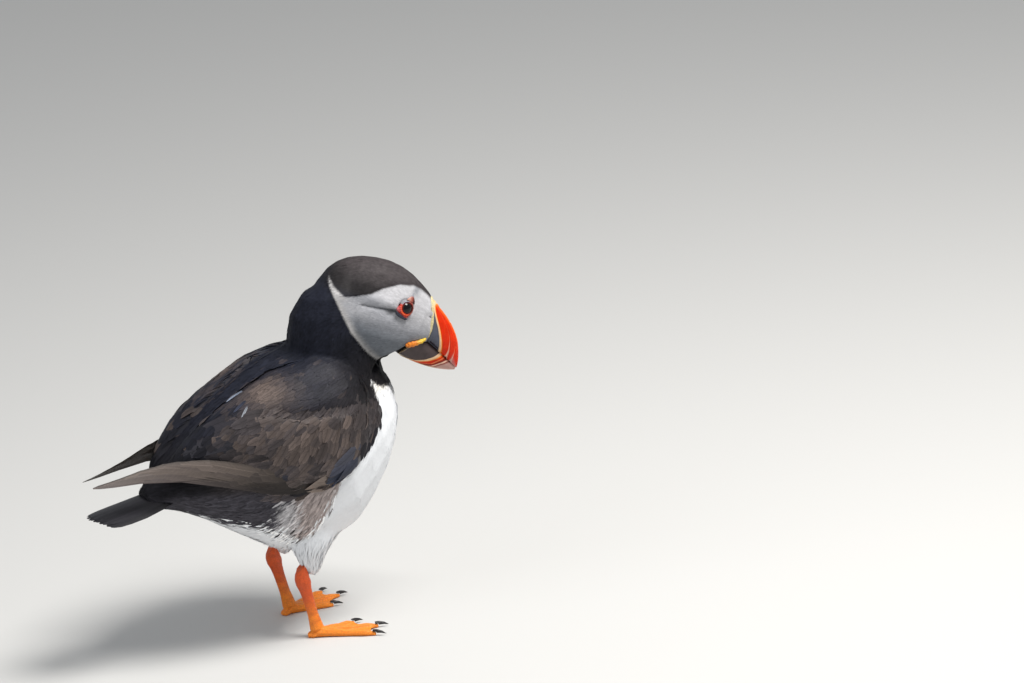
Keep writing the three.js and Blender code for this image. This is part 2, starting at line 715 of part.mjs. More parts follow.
for (const [word, side] of Object.entries(SIDES)) {
  const face = [headForm(CUT), eyeForm(side, CUT)];
  const orbit = orbitForm(side, CUT);
  const billBase = [headForm(CUT), cereForm(CUT), upperForm({ grow: CUT }), lowerForm({ grow: CUT })];
  put(headGroup, `${word}_gape_rosette`, carve(rosetteForm(side, 0), ...billBase), finish.gapeYellow);
  put(headGroup, `${word}_eye`, eyeForm(side, 0), finish.eyeDark);
  put(headGroup, `${word}_eye_ring`, carve(orbitForm(side, 0), ...face), finish.orbitRed);
  put(headGroup, `${word}_upper_eye_plate`, carve(upperPlate(side), ...face, orbit), finish.plateGrey);
  put(headGroup, `${word}_lower_eye_plate`, carve(lowerPlate(side), ...face, orbit), finish.plateGrey);

  const body = [trunkForm(CUT), neckForm(CUT), headForm(CUT), tailForm(CUT)];
  const overCoverts = [coverForm(COVERTS, side, CUT), ...body];
  const overSecondaries = [coverForm(SECONDARIES, side, CUT), ...overCoverts];
  const coverts = carve(coverForm(COVERTS, side, 0), ...body);
  const secondaries = carve(coverForm(SECONDARIES, side, 0), ...overCoverts);
  const primaries = carve(primariesForm(side, 0), ...overSecondaries);
  put(trunkGroup, `${word}_wing_coverts`, coverts, finish.wingPlumage);
  put(trunkGroup, `${word}_secondaries`, secondaries, finish.wingPlumage);
  put(trunkGroup, `${word}_primaries`, primaries, finish.wingPlumage);

  const thigh = carve(thighForm(side, 0), trunkForm(CUT), shankForm(side, CUT));
  put(legs, `${word}_thigh`, thigh, finish.whitePlumage);
  put(legs, `${word}_shank`, shankForm(side, 0), finish.legOrange);
  put(footGroups[side], `${word}_foot`, carve(footForm(side), shankForm(side, CUT)), finish.legOrange);
  for (const [toeWord, toe] of Object.entries(TOES)) {
    put(footGroups[side], `${word}_${toeWord}_claw`, clawForm(toe, side), finish.clawBlack);
  }
}

legs.add(footGroups[LEFT], footGroups[RIGHT]);
const puffin = framed('puffin', ORIGIN_SHIFT, [0, 0, 0]);
puffin.add(headGroup, trunkGroup, legs);

export default puffin;
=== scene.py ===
import math

import bpy
import numpy as np
from mathutils import Matrix, Vector
from mathutils.bvhtree import BVHTree


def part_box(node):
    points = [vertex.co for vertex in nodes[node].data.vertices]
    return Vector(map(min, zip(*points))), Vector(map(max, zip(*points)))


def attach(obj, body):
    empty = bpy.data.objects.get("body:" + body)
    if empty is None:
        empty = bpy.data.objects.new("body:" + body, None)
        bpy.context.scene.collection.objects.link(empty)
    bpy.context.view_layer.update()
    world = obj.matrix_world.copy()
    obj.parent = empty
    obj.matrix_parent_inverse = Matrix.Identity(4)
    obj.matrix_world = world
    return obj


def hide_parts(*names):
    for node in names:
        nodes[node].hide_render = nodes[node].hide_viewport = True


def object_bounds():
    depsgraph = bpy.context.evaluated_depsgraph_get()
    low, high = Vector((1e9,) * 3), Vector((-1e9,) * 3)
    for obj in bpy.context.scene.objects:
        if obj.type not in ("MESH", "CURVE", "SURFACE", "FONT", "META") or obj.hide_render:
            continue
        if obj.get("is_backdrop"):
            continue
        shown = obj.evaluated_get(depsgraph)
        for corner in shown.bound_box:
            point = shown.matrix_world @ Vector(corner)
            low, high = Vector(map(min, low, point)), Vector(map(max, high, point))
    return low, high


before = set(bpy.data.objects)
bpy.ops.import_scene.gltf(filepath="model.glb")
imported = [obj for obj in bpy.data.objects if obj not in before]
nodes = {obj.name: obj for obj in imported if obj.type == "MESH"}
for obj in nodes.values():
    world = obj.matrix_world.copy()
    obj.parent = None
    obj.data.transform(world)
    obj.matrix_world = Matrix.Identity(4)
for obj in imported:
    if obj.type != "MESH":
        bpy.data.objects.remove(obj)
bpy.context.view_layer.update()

MM = 0.001

# Studio: a pale matt floor that runs back to the horizon, a broad warm key over the bird's front, a weak
# fill from the other side and a bright even sky, so that the bird stands in soft light.
bpy.ops.object.select_all(action="DESELECT")
bpy.ops.mesh.primitive_circle_add(vertices=96, radius=6, fill_type="NGON", location=(0, 0, -0.0002))
floor = bpy.context.object
floor.name = "studio_floor"
bpy.ops.object.transform_apply(location=True, rotation=True, scale=True)
floor_paint = bpy.data.materials.new("floor paint")
floor_paint.use_nodes = True
paint = floor_paint.node_tree.nodes["Principled BSDF"]
paint.inputs["Base Color"].default_value = (0.56, 0.555, 0.54, 1)
paint.inputs["Roughness"].default_value = 0.85
floor.data.materials.append(floor_paint)
floor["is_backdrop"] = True

sky = bpy.data.worlds.new("studio sky")
bpy.context.scene.world = sky
sky.use_nodes = True
sky.node_tree.nodes["Background"].inputs["Color"].default_value = (0.93, 0.96, 1.0, 1)
sky.node_tree.nodes["Background"].inputs["Strength"].default_value = 0.45

bpy.context.scene.view_settings.view_transform = "Standard"

# The camera looks down on the bird's right side from a little behind its head, rolled a few degrees.
VIEW_AZIMUTH, VIEW_ELEVATION, VIEW_ROLL = math.radians(-26), math.radians(17), math.radians(5)
VIEW_DISTANCE, SENSOR_WIDTH = 3.0, 36
METRES_PER_PIXEL = 0.00053
FRAME_WIDTH, FRAME_HEIGHT = 1024, 683
ANCHOR, ANCHOR_PIXEL = Vector((0.0149, 0, 0.095)), (290, 455)
back = Vector((
    math.sin(VIEW_AZIMUTH) * math.cos(VIEW_ELEVATION),
    -math.cos(VIEW_AZIMUTH) * math.cos(VIEW_ELEVATION),
    math.sin(VIEW_ELEVATION),
))
level = Vector((math.cos(VIEW_AZIMUTH), math.sin(VIEW_AZIMUTH), 0))
over = back.cross(level)
right = level * math.cos(VIEW_ROLL) - over * math.sin(VIEW_ROLL)
up = level * math.sin(VIEW_ROLL) + over * math.cos(VIEW_ROLL)
aim = (
    ANCHOR
    + right * (FRAME_WIDTH / 2 - ANCHOR_PIXEL[0]) * METRES_PER_PIXEL
    + up * (ANCHOR_PIXEL[1] - FRAME_HEIGHT / 2) * METRES_PER_PIXEL
)
bpy.ops.object.camera_add(location=aim + back * VIEW_DISTANCE)
camera = bpy.context.object
camera.matrix_world = Matrix.Translation(aim + back * VIEW_DISTANCE) @ Matrix((right, up, back)).transposed().to_4x4()
camera.data.sensor_width = SENSOR_WIDTH
camera.data.lens = SENSOR_WIDTH * VIEW_DISTANCE / (FRAME_WIDTH * METRES_PER_PIXEL)
camera.data.clip_start, camera.data.clip_end = 0.1, 30
bpy.context.scene.camera = camera


def studio_light(name, toward, distance, size, watts, tint):
    """A square soft box, facing the bird's middle from a direction."""
    middle = Vector((0.01, 0, 0.1))
    toward = toward.normalized()
    bpy.ops.object.light_add(type="AREA", location=middle + toward * distance)
    lamp = bpy.context.object
    lamp.name = name
    lamp.rotation_euler = toward.to_track_quat("Z", "Y").to_euler()
    lamp.data.size = size
    lamp.data.energy = watts
    lamp.data.color = tint


studio_light("key box", right * 0.45 + up + back * 0.5, 1.3, 0.55, 25, (1.0, 0.98, 0.95))
studio_light("fill box", right * -0.8 + up * 0.35 + back * 0.7, 1.6, 1.0, 4, (0.9, 0.95, 1.0))

# Skin: one closed hide over the head, neck, trunk, thighs and folded arms, drawn in by the depth of the
# plumage. It carries the same markings as the feathers and the slit of the closed feathers behind each eye.
SKIN_NODES = ["head", "neck", "trunk"] + [
    f"{side}_{part}" for side in ("left", "right") for part in ("thigh", "wing_coverts", "secondaries")
]
SKIN_GRAIN = 0.95 * MM


def new_piece(title, mesh):
    piece = bpy.data.objects.new(title, mesh)
    bpy.context.scene.collection.objects.link(piece)
    return piece


def merged_copy(names, title):
    """One loose copy of some solids, joined, with its doubled points merged."""
    bpy.ops.object.select_all(action="DESELECT")
    for name in names:
        piece = new_piece(title, nodes[name].data.copy())
        piece.data.materials.clear()
        piece.select_set(True)
        bpy.context.view_layer.objects.active = piece
    if len(names) > 1:
        bpy.ops.object.join()
    whole = bpy.context.object
    whole.name = title
    bpy.ops.object.mode_set(mode="EDIT")
    bpy.ops.mesh.select_all(action="SELECT")
    bpy.ops.mesh.remove_doubles(threshold=1e-5)
    bpy.ops.object.mode_set(mode="OBJECT")
    return whole


def recast(piece, grain):
    """Rebuilds a piece's surface as one even closed skin."""
    bpy.context.view_layer.objects.active = piece
    remesh = piece.modifiers.new("recast", "REMESH")
    remesh.mode = "VOXEL"
    remesh.voxel_size = grain
    bpy.ops.object.modifier_apply(modifier=remesh.name)


def points_of(mesh):
    found = np.empty(len(mesh.vertices) * 3)
    mesh.vertices.foreach_get("co", found)
    return found.reshape(-1, 3)


def normals_of(mesh):
    found = np.empty(len(mesh.vertices) * 3, np.float32)
    mesh.vertex_normals.foreach_get("vector", found)
    return found.reshape(-1, 3).astype(float)


def set_points(mesh, points):
    mesh.vertices.foreach_set("co", points.astype(np.float32).ravel())
    mesh.update()


def relax(mesh, rounds, pull=0.5, spring=-0.53, where=1.0):
    """Smooths a surface without shrinking it: each round pulls the points in and springs them back."""
    edges = np.empty(len(mesh.edges) * 2, np.int32)
    mesh.edges.foreach_get("vertices", edges)
    a, b = edges.reshape(-1, 2).T
    points = points_of(mesh)
    count = len(points)
    share = 1 / np.maximum(np.bincount(a, minlength=count) + np.bincount(b, minlength=count), 1)
    for step in [pull, spring] * rounds:
        for axis in range(3):
            line = points[:, axis]
            around = np.bincount(a, line[b], count) + np.bincount(b, line[a], count)
            points[:, axis] = line + step * where * (around * share - line)
    set_points(mesh, points)


# The head's own directions: ahead along the bill, to its left, and up through the crown.
HEAD_MIDDLE = np.array([64.9, -12, 170]) * MM
HEAD_TURN, HEAD_DIP = math.radians(-26), math.radians(27)
ahead = np.array([
    math.cos(HEAD_DIP) * math.cos(HEAD_TURN), math.cos(HEAD_DIP) * math.sin(HEAD_TURN), -math.sin(HEAD_DIP)
])
leftward = np.array([-math.sin(HEAD_TURN), math.cos(HEAD_TURN), 0])
crownward = np.cross(ahead, leftward)
HEAD_AXES = np.array([ahead, leftward, crownward])


def on_head(points):
    """Places on the head in millimetres: ahead, left and up from its middle."""
    return (points - HEAD_MIDDLE) @ HEAD_AXES.T / MM


def off_head(places):
    return HEAD_MIDDLE + np.asarray(places, float) * MM @ HEAD_AXES


def inside(outline, across, up):
    """How far inside a closed outline each point lies, below nothing outside it."""
    points = np.stack([across, up], -1)
    corners = np.asarray(outline, float)
    nearest = np.full(len(points), np.inf)
    within = np.zeros(len(points), bool)
    for (ax, ay), (bx, by) in zip(corners, np.roll(corners, -1, 0)):
        edge = np.array([bx - ax, by - ay])
        arm = points - (ax, ay)
        share = np.clip(arm @ edge / (edge @ edge), 0, 1)
        nearest = np.minimum(nearest, np.hypot(*(arm - share[:, None] * edge).T))
        crosses = (ay > points[:, 1]) != (by > points[:, 1])
        within ^= crosses & (points[:, 0] < (bx - ax) * (points[:, 1] - ay) / (by - ay + 1e-12) + ax)
    return np.where(within, nearest, -nearest)


def ease(value, low, high):
    share = np.clip((value - low) / (high - low), 0, 1)
    return share * share * (3 - 2 * share)


def tone(*channels):
    """A colour given as it looks on screen, out of 255, as the light it gives back."""
    share = np.array(channels) / 255
    return np.where(share < 0.04045, share / 12.92, ((share + 0.055) / 1.055) ** 2.4)


def ripple(points, pitch, seed):
    """Smooth clouds of about 0 to 1 over points, from a few crossed waves; pitch is their size in metres."""
    dice = np.random.default_rng(seed)
    total = np.zeros(len(points))
    for _ in range(7):
        wave = dice.normal(size=3)
        wave *= dice.uniform(0.6, 1.6) / np.linalg.norm(wave) / pitch
        total += np.sin(points @ wave * 2 * math.pi + dice.uniform(0, 6.28))
    return np.clip(0.5 + total / 6, 0, 1)


# Markings. The pale face in the head's side view, and the white of the breast and belly in the trunk's.
FACE = [
    (36, 12), (29, 15.2), (25, 17.4), (20.9, 19.2), (15.9, 20.3), (8.4, 19.2), (0.5, 14.9), (-4, 10.7),
    (-11.8, 6.2), (-17.5, 4.8), (-24.6, 7), (-28, 9), (-26.5, 6), (-20.3, 0.7), (-13, -6.3), (-6.6, -12.5),
    (1, -17.5), (7.2, -21.5), (13.4, -24.6), (20, -27), (40, -27), (40, 12),
]
WHITE = [
    (92, 116), (80, 122), (72, 125.4), (64, 128.6), (58.9, 130.4), (55.6, 132), (53.4, 134.4), (53.6, 131),
    (54, 126), (55.2, 119.5), (52.5, 112), (48.4, 108), (40.5, 102.5), (32, 96.8), (26, 89.6), (23, 80.8),
    (16.5, 70.8), (10, 60.5), (3, 57), (-5, 63), (-17, 68), (-30, 70.5), (-50, 77), (-75, 83), (-75, 20), (92, 20),
]
INK = tone(23, 22, 26)
CAP_BROWN = tone(62, 57, 58)
CAP_SIDE = tone(36, 34, 35)
MANTLE_BLUE_AND_SHEEN = tone(27, 29, 39)
WING_BROWN = tone(62, 57, 58)
WORN_BROWN = tone(104, 91, 84)
RUMP_GREY = tone(62, 60, 66)
FLANK_BROWN = tone(158, 147, 144)
BREAST_WHITE = tone(227, 229, 232)
COLLAR_CREAM = tone(214, 203, 184)
FACE_LIGHT = tone(184, 183, 186)
FACE_GREY = tone(146, 147, 152)
FACE_SLATE = tone(108, 112, 118)
FACE_RIM = tone(174, 171, 169)
CHIN_OLIVE = tone(46, 43, 40)
SLIT_SHADE = tone(58, 60, 64)
# The fold under the scapulars, the slit behind the eye and the edge of the chin's feathers.
FOLD = [(49, 123.5), (40, 125), (32, 126.5), (15, 128), (4, 129), (-11, 132.5), (-40, 128), (-64, 117)]
SLIT = [(11.5, 6.2), (7.9, 5.9), (2.7, 5.1), (-2.6, 4.3), (-6.8, 3.6)]
CHIN_LINE = [(11.5, -27.5), (13.8, -23.3), (16.8, -19.9), (20, -15.6), (23.5, -10.6), (26.5, -8.2)]


def over_fold(x, z):
    """How far a place lies above the fold between scapulars and coverts."""
    line = np.array(FOLD)[::-1]
    return z - np.interp(x, line[:, 0], line[:, 1])


def past_chin(f, u):
    """How far a place lies in front of the line where the face's feathers end over the jaw."""
    line = np.array(CHIN_LINE)
    return (f - np.interp(u, line[:, 1], line[:, 0])) * 0.75 * ease(-u, 6, 9)


def off_line(line, a, b):
    """The distance of points from a bent line, and how far along it they lie, from 0 to 1."""
    best, along = np.full(len(a), np.inf), np.zeros(len(a))
    steps = len(line) - 1
    for i in range(steps):
        (ax, ay), (bx, by) = line[i], line[i + 1]
        edge = np.array([bx - ax, by - ay])
        arm = np.stack([a - ax, b - ay], -1)
        share = np.clip(arm @ edge / (edge @ edge), 0, 1)
        off = np.hypot(*(arm - share[:, None] * edge).T)
        along = np.where(off < best, (i + share) / steps, along)
        best = np.minimum(best, off)
    return best, along


def blend(under, over, share):
    return under + (over - under) * np.asarray(share)[:, None]


def coloured(count, base, *layers):
    """A colour for each of many points: a base, and the colours laid over it, each by its share at each point."""
    colours = np.tile(base, (count, 1))
    for colour, share in layers:
        colours = blend(colours, colour, share)
    return colours


def lobe(value, middle, reach):
    """1 at a middle, falling softly to nothing to both sides."""
    return np.exp(-(((value - middle) / reach) ** 2))


def spot(a, b, middle, reach):
    return np.exp(-(((a - middle[0]) / reach[0]) ** 2) - ((b - middle[1]) / reach[1]) ** 2)


def markings(points, fray=None):
    """The plumage's colour at points; fray, in millimetres, moves each point's own border a little."""
    fray = np.zeros(len(points)) if fray is None else fray
    x, y, z = points.T / MM
    side = np.abs(y)
    f, l, u = on_head(points).T
    # Body: dark above and behind, bluest along the spine, worn brown on the shoulder and the wing.
    colour = np.tile(INK, (len(points), 1))
    top = ease(z - 0.32 * (x + 60), 92, 118)
    wing = ease(side, 20, 30) * ease(x, -60, -40) * (1 - ease(z, 148, 160))
    # Bluest along the top: partly the feathers' own blue-black, partly a painted sheen.
    colour = blend(colour, MANTLE_BLUE_AND_SHEEN, ease(z, 100, 140) * top)
    low_wing = 1 - ease(over_fold(x, z), -1, 2)
    colour = blend(colour, WING_BROWN, wing * (0.05 + 0.25 * ripple(points, 0.035, 5) + 0.65 * low_wing))
    worn = spot(x, z, (-8, 141), (12, 7)) + 0.75 * spot(x, z, (12, 113), (20, 10)) * ripple(points, 0.012, 9)
    colour = blend(colour, WORN_BROWN, np.clip(0.75 * worn * ease(side, 12, 24), 0, 0.7))
    rump = ease(z, 62, 66) * (1 - ease(z, 88, 94)) * (1 - ease(x, 2, 12))
    colour = blend(colour, RUMP_GREY, rump)
    flank = inside([(-3, 93), (28, 93), (27, 80), (18, 66), (11, 56), (2, 54), (-2, 66)], x, z)
    colour = blend(colour, FLANK_BROWN, ease(flank + fray, -3, 3) * ease(side, 8, 16))
    wisps = inside([(-8, 84), (0, 82), (3, 62), (-4, 60), (-12, 66)], x, z)
    colour = blend(colour, tone(190, 188, 190), 0.7 * ease(wisps + 0.9 * fray, -1, 1.5) * ease(side, 10, 16))
    # Painted shade on the throat and the front of the neck, under the head.
    throat_shade = ease(z, 124, 134) * (1 - ease(z, 156, 166)) * ease(x, 25, 45)
    colour = colour * (1 - 0.6 * throat_shade)[:, None]
    # White breast, belly and vent, with a cream stain under the collar.
    white = inside(WHITE, x, z) + fray
    pale = coloured(len(points), BREAST_WHITE, (COLLAR_CREAM, 0.6 * spot(x, z, (60, 131), (9, 4))))
    under_tail = ease(-z, -82, -70) * ease(-side, -14, -6)
    colour = blend(colour, pale, np.maximum(ease(white, -0.5, 0.9), under_tail * ease(-x, 0, 20)))
    # Head: a black-brown cap and nape round a pale face that is slate on the cheek and chin, the slate partly painted
    # shade.
    near = ease(f, -34, -26) * ease(u + 0.75 * np.maximum(f + 6, 0), -22, -10) * ease(z, 140, 150)
    # Lighter on the crown: partly the cap's own brown, partly painted light on the top of the head.
    crown = coloured(len(points), CAP_SIDE, (CAP_BROWN, ease(u, 10, 22)))
    colour = blend(colour, crown, near * ease(u, 2, 10))
    patch = inside(FACE, f, u)
    rear = (1 - ease(patch, 0.2, 4.5)) * ease(-(u + 0.78 * f), 6, 12)
    slit, along = off_line(SLIT, f, u)
    crease = lobe(slit, 0, 0.85 - 0.4 * along) * ease(np.abs(l), 9, 12)
    # The face pales from slate low on the cheek up to the brow: partly its own grey, partly painted shade low on the
    # face.
    face = coloured(
        len(points), FACE_SLATE,
        (FACE_GREY, ease(u + 0.15 * f, -10, 4)),
        (FACE_LIGHT, ease(u + 0.3 * f, 5, 15)),
        (FACE_LIGHT, 0.3 * spot(f, u, (22, 1), (7, 3)) + 0.45 * spot(f, u, (-8, 0), (11, 5))),
        (FACE_SLATE, 0.6 * spot(f, u, (12, -18), (14, 7))),
        # Painted shade in the feathers just above the upper eye plate.
        (FACE_SLATE, 0.75 * spot(f, u, (18.2, 18.4), (1.8, 2.4))),
        (FACE_RIM, 0.75 * rear),
        # Painted shade in the crease of the slit behind the eye, and a painted shadow at the eye's rear corner.
        (SLIT_SHADE, crease * (0.95 - 0.25 * along) * (f < 13)),
        (SLIT_SHADE, 0.75 * spot(f, u, (9.2, 4.8), (2.6, 1.5))),
        # Dark olive past the chin line: partly the chin's own dark feathering, partly painted shade under the jaw.
        (CHIN_OLIVE, ease(past_chin(f, u) + 0.4 * fray, 0.2, 1.1)))
    front = ease(f, -30, -26) * ease(z, 136, 140)
    return blend(colour, face, ease(patch + fray * 0.55, -0.4, 0.7) * front)


skin = merged_copy(SKIN_NODES, "skin")
recast(skin, SKIN_GRAIN)
relax(skin.data, 40)
x, y, z = points_of(skin.data).T / MM
crease = spot(x, z, (34, 54), (16, 12))
relax(skin.data, 90, 0.5, 0.0, np.clip(1.6 * crease, 0, 1))
EYES = {}
for side, word in ((1, "left"), (-1, "right")):
    low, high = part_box(f"{word}_eye")
    middle = np.array((Vector(low) + Vector(high)) / 2)
    points, normals = points_of(skin.data), normals_of(skin.data)
    ring = np.linalg.norm(points - middle, axis=1)
    axis = normals[(ring > 5.5 * MM) & (ring < 8 * MM)].mean(0)
    EYES[side] = (middle, axis / np.linalg.norm(axis))


def coat_depth(points):
    """How deep the plumage is, in millimetres: least on the face, most on the breast and back."""
    f = on_head(points)[:, 0]
    on_face = ease(f, -34, -20) * ease(points[:, 2] / MM, 140, 152)
    return 1.5 - 0.85 * on_face - 0.25 * ease(f, 20, 30) * on_face


points, normals = points_of(skin.data), normals_of(skin.data)
f, l, u = on_head(points).T
x, y, z = points.T / MM
slit, along = off_line(SLIT, f, u)
cheek = ease(np.abs(l), 9, 12) * ease(z, 150, 155)
draw_in = coat_depth(points)
draw_in += cheek * 1.3 * lobe(slit, 0, 0.9) * (1 - 0.55 * along) * (f < 13)
draw_in += cheek * spot(f, u, (9, 4.2), (3.2, 1.8))
draw_in -= cheek * 0.55 * lobe(u - 0.12 * f, 9.2, 2.2) * ease(f, -10, -2) * (1 - ease(f, 10, 13))
fold, _ = off_line(FOLD[:6], x, z)
draw_in += 2.5 * lobe(fold, 0, 1.6) * ease(np.abs(y), 25, 32)
points = points - normals * draw_in[:, None] * MM
# The feathering reaches forward onto the base of the bill, and the skin falls away inside the jaw's rear edge.
slide = ease(f, 20, 26) * ease(u, -9, -3) * (1.5 + 1.3 * ease(u, 8, 15))
hollow = ease(past_chin(f, u), 0.1, 1.7) * ease(z, 136, 140)
f, l, u = on_head(points).T
lining = ease(f, 22, 26) * (np.sign(l) * (normals @ leftward) < -0.1)
f = f + slide - hollow * np.maximum(f - 26.5, 0)
l = l - np.sign(l) * 1.3 * lining
l = l + hollow * (np.sign(l) * np.minimum(np.abs(l), 4.2) - l)
u = u - 0.67 * slide * ease(u, 8, 15) + hollow * ease(f, 17, 20) * np.maximum(-17.6 - u, 0)
points = off_head(np.stack([f, l, u], -1))
for side in (1, -1):
    thigh = (z < 54) & (y * side > 8)
    heart = points[thigh & (z < 40)].mean(0)
    points[thigh, :2] += (heart[:2] - points[thigh, :2]) * (0.36 * ease(54 - z[thigh], 0, 15))[:, None]
set_points(skin.data, points)
relax(skin.data, 2)
f, l, u = on_head(points).T
relax(skin.data, 10, 0.5, -0.3, ease(f, 28.5, 30) * ease(u, -6, -4) * (1 - ease(u, 13, 15)))



def hold(piece):
    """Makes a piece the one that is worked on."""
    bpy.ops.object.select_all(action="DESELECT")
    piece.select_set(True)
    bpy.context.view_layer.objects.active = piece


hold(skin)
bpy.ops.object.shade_smooth()
bpy.ops.object.mode_set(mode="EDIT")
bpy.ops.mesh.select_all(action="SELECT")
bpy.ops.uv.smart_project(angle_limit=math.radians(70), island_margin=0.001)
bpy.ops.object.mode_set(mode="OBJECT")
skin.data.uv_layers[0].name = "hide"


def stain(mesh, title, colours):
    """Stores a colour on every point of a mesh, for its material to read."""
    layer = mesh.attributes.new(title, "FLOAT_COLOR", "POINT")
    full = np.ones((len(colours), 4), np.float32)
    full[:, :3] = np.clip(colours, 0, 1)
    layer.data.foreach_set("color", full.ravel())


stain(skin.data, "plumage", markings(points_of(skin.data)) * 0.92)


def plain_material(title, roughness, specular):
    """A new material and its shader."""
    made = bpy.data.materials.new(title)
    made.use_nodes = True
    shader = made.node_tree.nodes["Principled BSDF"]
    shader.inputs["Roughness"].default_value = roughness
    shader.inputs["Specular IOR Level"].default_value = specular
    return made, shader


def join(finish, output, socket):
    getattr(finish, "node_tree", finish).links.new(output, socket)


def add_node(finish, kind, inputs=None, **settings):
    """A node in a finish or a shared effect, its inputs given as values or as other nodes' outputs."""
    node = getattr(finish, "node_tree", finish).nodes.new(kind)
    for name, value in settings.items():
        setattr(node, name, value)
    for name, value in (inputs or {}).items():
        if isinstance(value, bpy.types.NodeSocket):
            join(finish, value, node.inputs[name])
        else:
            node.inputs[name].default_value = value
    return node


def figure(finish, operation, *values):
    """One sum on values or other nodes' outputs."""
    return add_node(finish, "ShaderNodeMath", dict(enumerate(values)), operation=operation).outputs[0]


def remap(finish, value, low, high, to_low, to_high):
    """Carries a value's range onto another, held at both ends."""
    return add_node(finish, "ShaderNodeMapRange", {
        "Value": value, "From Min": low, "From Max": high, "To Min": to_low, "To Max": to_high}).outputs["Result"]


def noise(finish, at, scale, detail):
    return add_node(finish, "ShaderNodeTexNoise", {"Vector": at, "Scale": scale, "Detail": detail}).outputs["Fac"]


def dimmed(finish, colour, share):
    """A colour made lighter or darker by a share."""
    return add_node(
        finish, "ShaderNodeVectorMath", {"Vector": colour, "Scale": share}, operation="SCALE").outputs["Vector"]


def relief(finish, height, strength, depth, under=None):
    """The normal over a height, laid over another relief where one is given."""
    inputs = {"Height": height, "Strength": strength, "Distance": depth}
    return add_node(finish, "ShaderNodeBump", inputs | ({"Normal": under} if under else {})).outputs["Normal"]


def shared_effect(title, takes, gives):
    """A shader group for an effect of several finishes: the group, what it takes and what it gives."""
    effect = bpy.data.node_groups.new(title, "ShaderNodeTree")
    for way, sockets in (("INPUT", takes), ("OUTPUT", gives)):
        for name, kind in sockets.items():
            effect.interface.new_socket(name=name, in_out=way, socket_type="NodeSocket" + kind)
    return effect, effect.nodes.new("NodeGroupInput").outputs, effect.nodes.new("NodeGroupOutput").inputs


def stained_material(title, roughness, specular, effect, **values):
    """A finish of a piece's own stain, worked over by a shared effect with the values given."""
    made, shader = plain_material(title, roughness, specular)
    own = add_node(made, "ShaderNodeAttribute", attribute_name="plumage").outputs["Color"]
    look = add_node(made, "ShaderNodeGroup", {"Stain": own, **values}, node_tree=effect)
    join(made, look.outputs["Colour"], shader.inputs["Base Color"])
    join(made, look.outputs["Normal"], shader.inputs["Normal"])
    return made, shader


# Small feathers: their stain broken up by fine clouds along the coat, with a soft barb grain.
STAIN_TO_FINISH = {"Colour": "Color", "Normal": "Vector"}
barb_grain, takes, gives = shared_effect("barb grain", {"Stain": "Color", "Speckle": "Float"}, STAIN_TO_FINISH)
place = add_node(barb_grain, "ShaderNodeTexCoord").outputs["Object"]
darkest = figure(barb_grain, "SUBTRACT", 1, takes["Speckle"])
lightest = figure(barb_grain, "ADD", 1, takes["Speckle"])
bright = remap(barb_grain, noise(barb_grain, place, 420.0, 3.0), 0.3, 0.7, darkest, lightest)
join(barb_grain, dimmed(barb_grain, takes["Stain"], bright), gives["Colour"])
join(barb_grain, relief(barb_grain, noise(barb_grain, place, 2400.0, 2.0), 0.12, 0.0002), gives["Normal"])
hide_look, _ = stained_material("hide under the plumage", 0.85, 0.08, barb_grain, Speckle=0.1)
skin.data.materials.append(hide_look)
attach(skin, "root")
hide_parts(*SKIN_NODES)

# Body plumage: thousands of small feathers rooted in the skin, each a thin closed vane raised along its
# shaft. They lie from the bill backwards, short and velvety on the head, longer and looser on the body.
LIE_ON_HEAD = [  # ahead, left and up from the head's middle, and the way the feathers point there
    (30, 0, 16, -0.5, 0, 0.85), (20, 0, 24, -1, 0, 0.3), (0, 0, 27, -1, 0, -0.1), (-20, 0, 22, -0.9, 0, -0.6),
    (-30, 0, 8, -0.4, 0, -1), (30, 9, 8, -1, 0.4, 0.5), (30, 9, -4, -1, 0.5, 0.1), (20, 13, 12, -1, 0.2, 0.25),
    (20, 14, 0, -1, 0.3, -0.05), (18, 13, -14, -1, 0.2, -0.3), (5, 19, 8, -1, 0, 0.1), (5, 20, -6, -1, 0, -0.12),
    (2, 18, -18, -1, 0, -0.35), (-12, 18, 12, -1, 0, -0.2), (-12, 20, -4, -1, 0, -0.4), (-8, 18, -18, -0.8, 0, -0.7),
    (-24, 14, 6, -0.8, 0, -0.7), (22, 0, -23, -1, 0, -0.25), (8, 0, -28, -0.8, 0, -0.8),
]
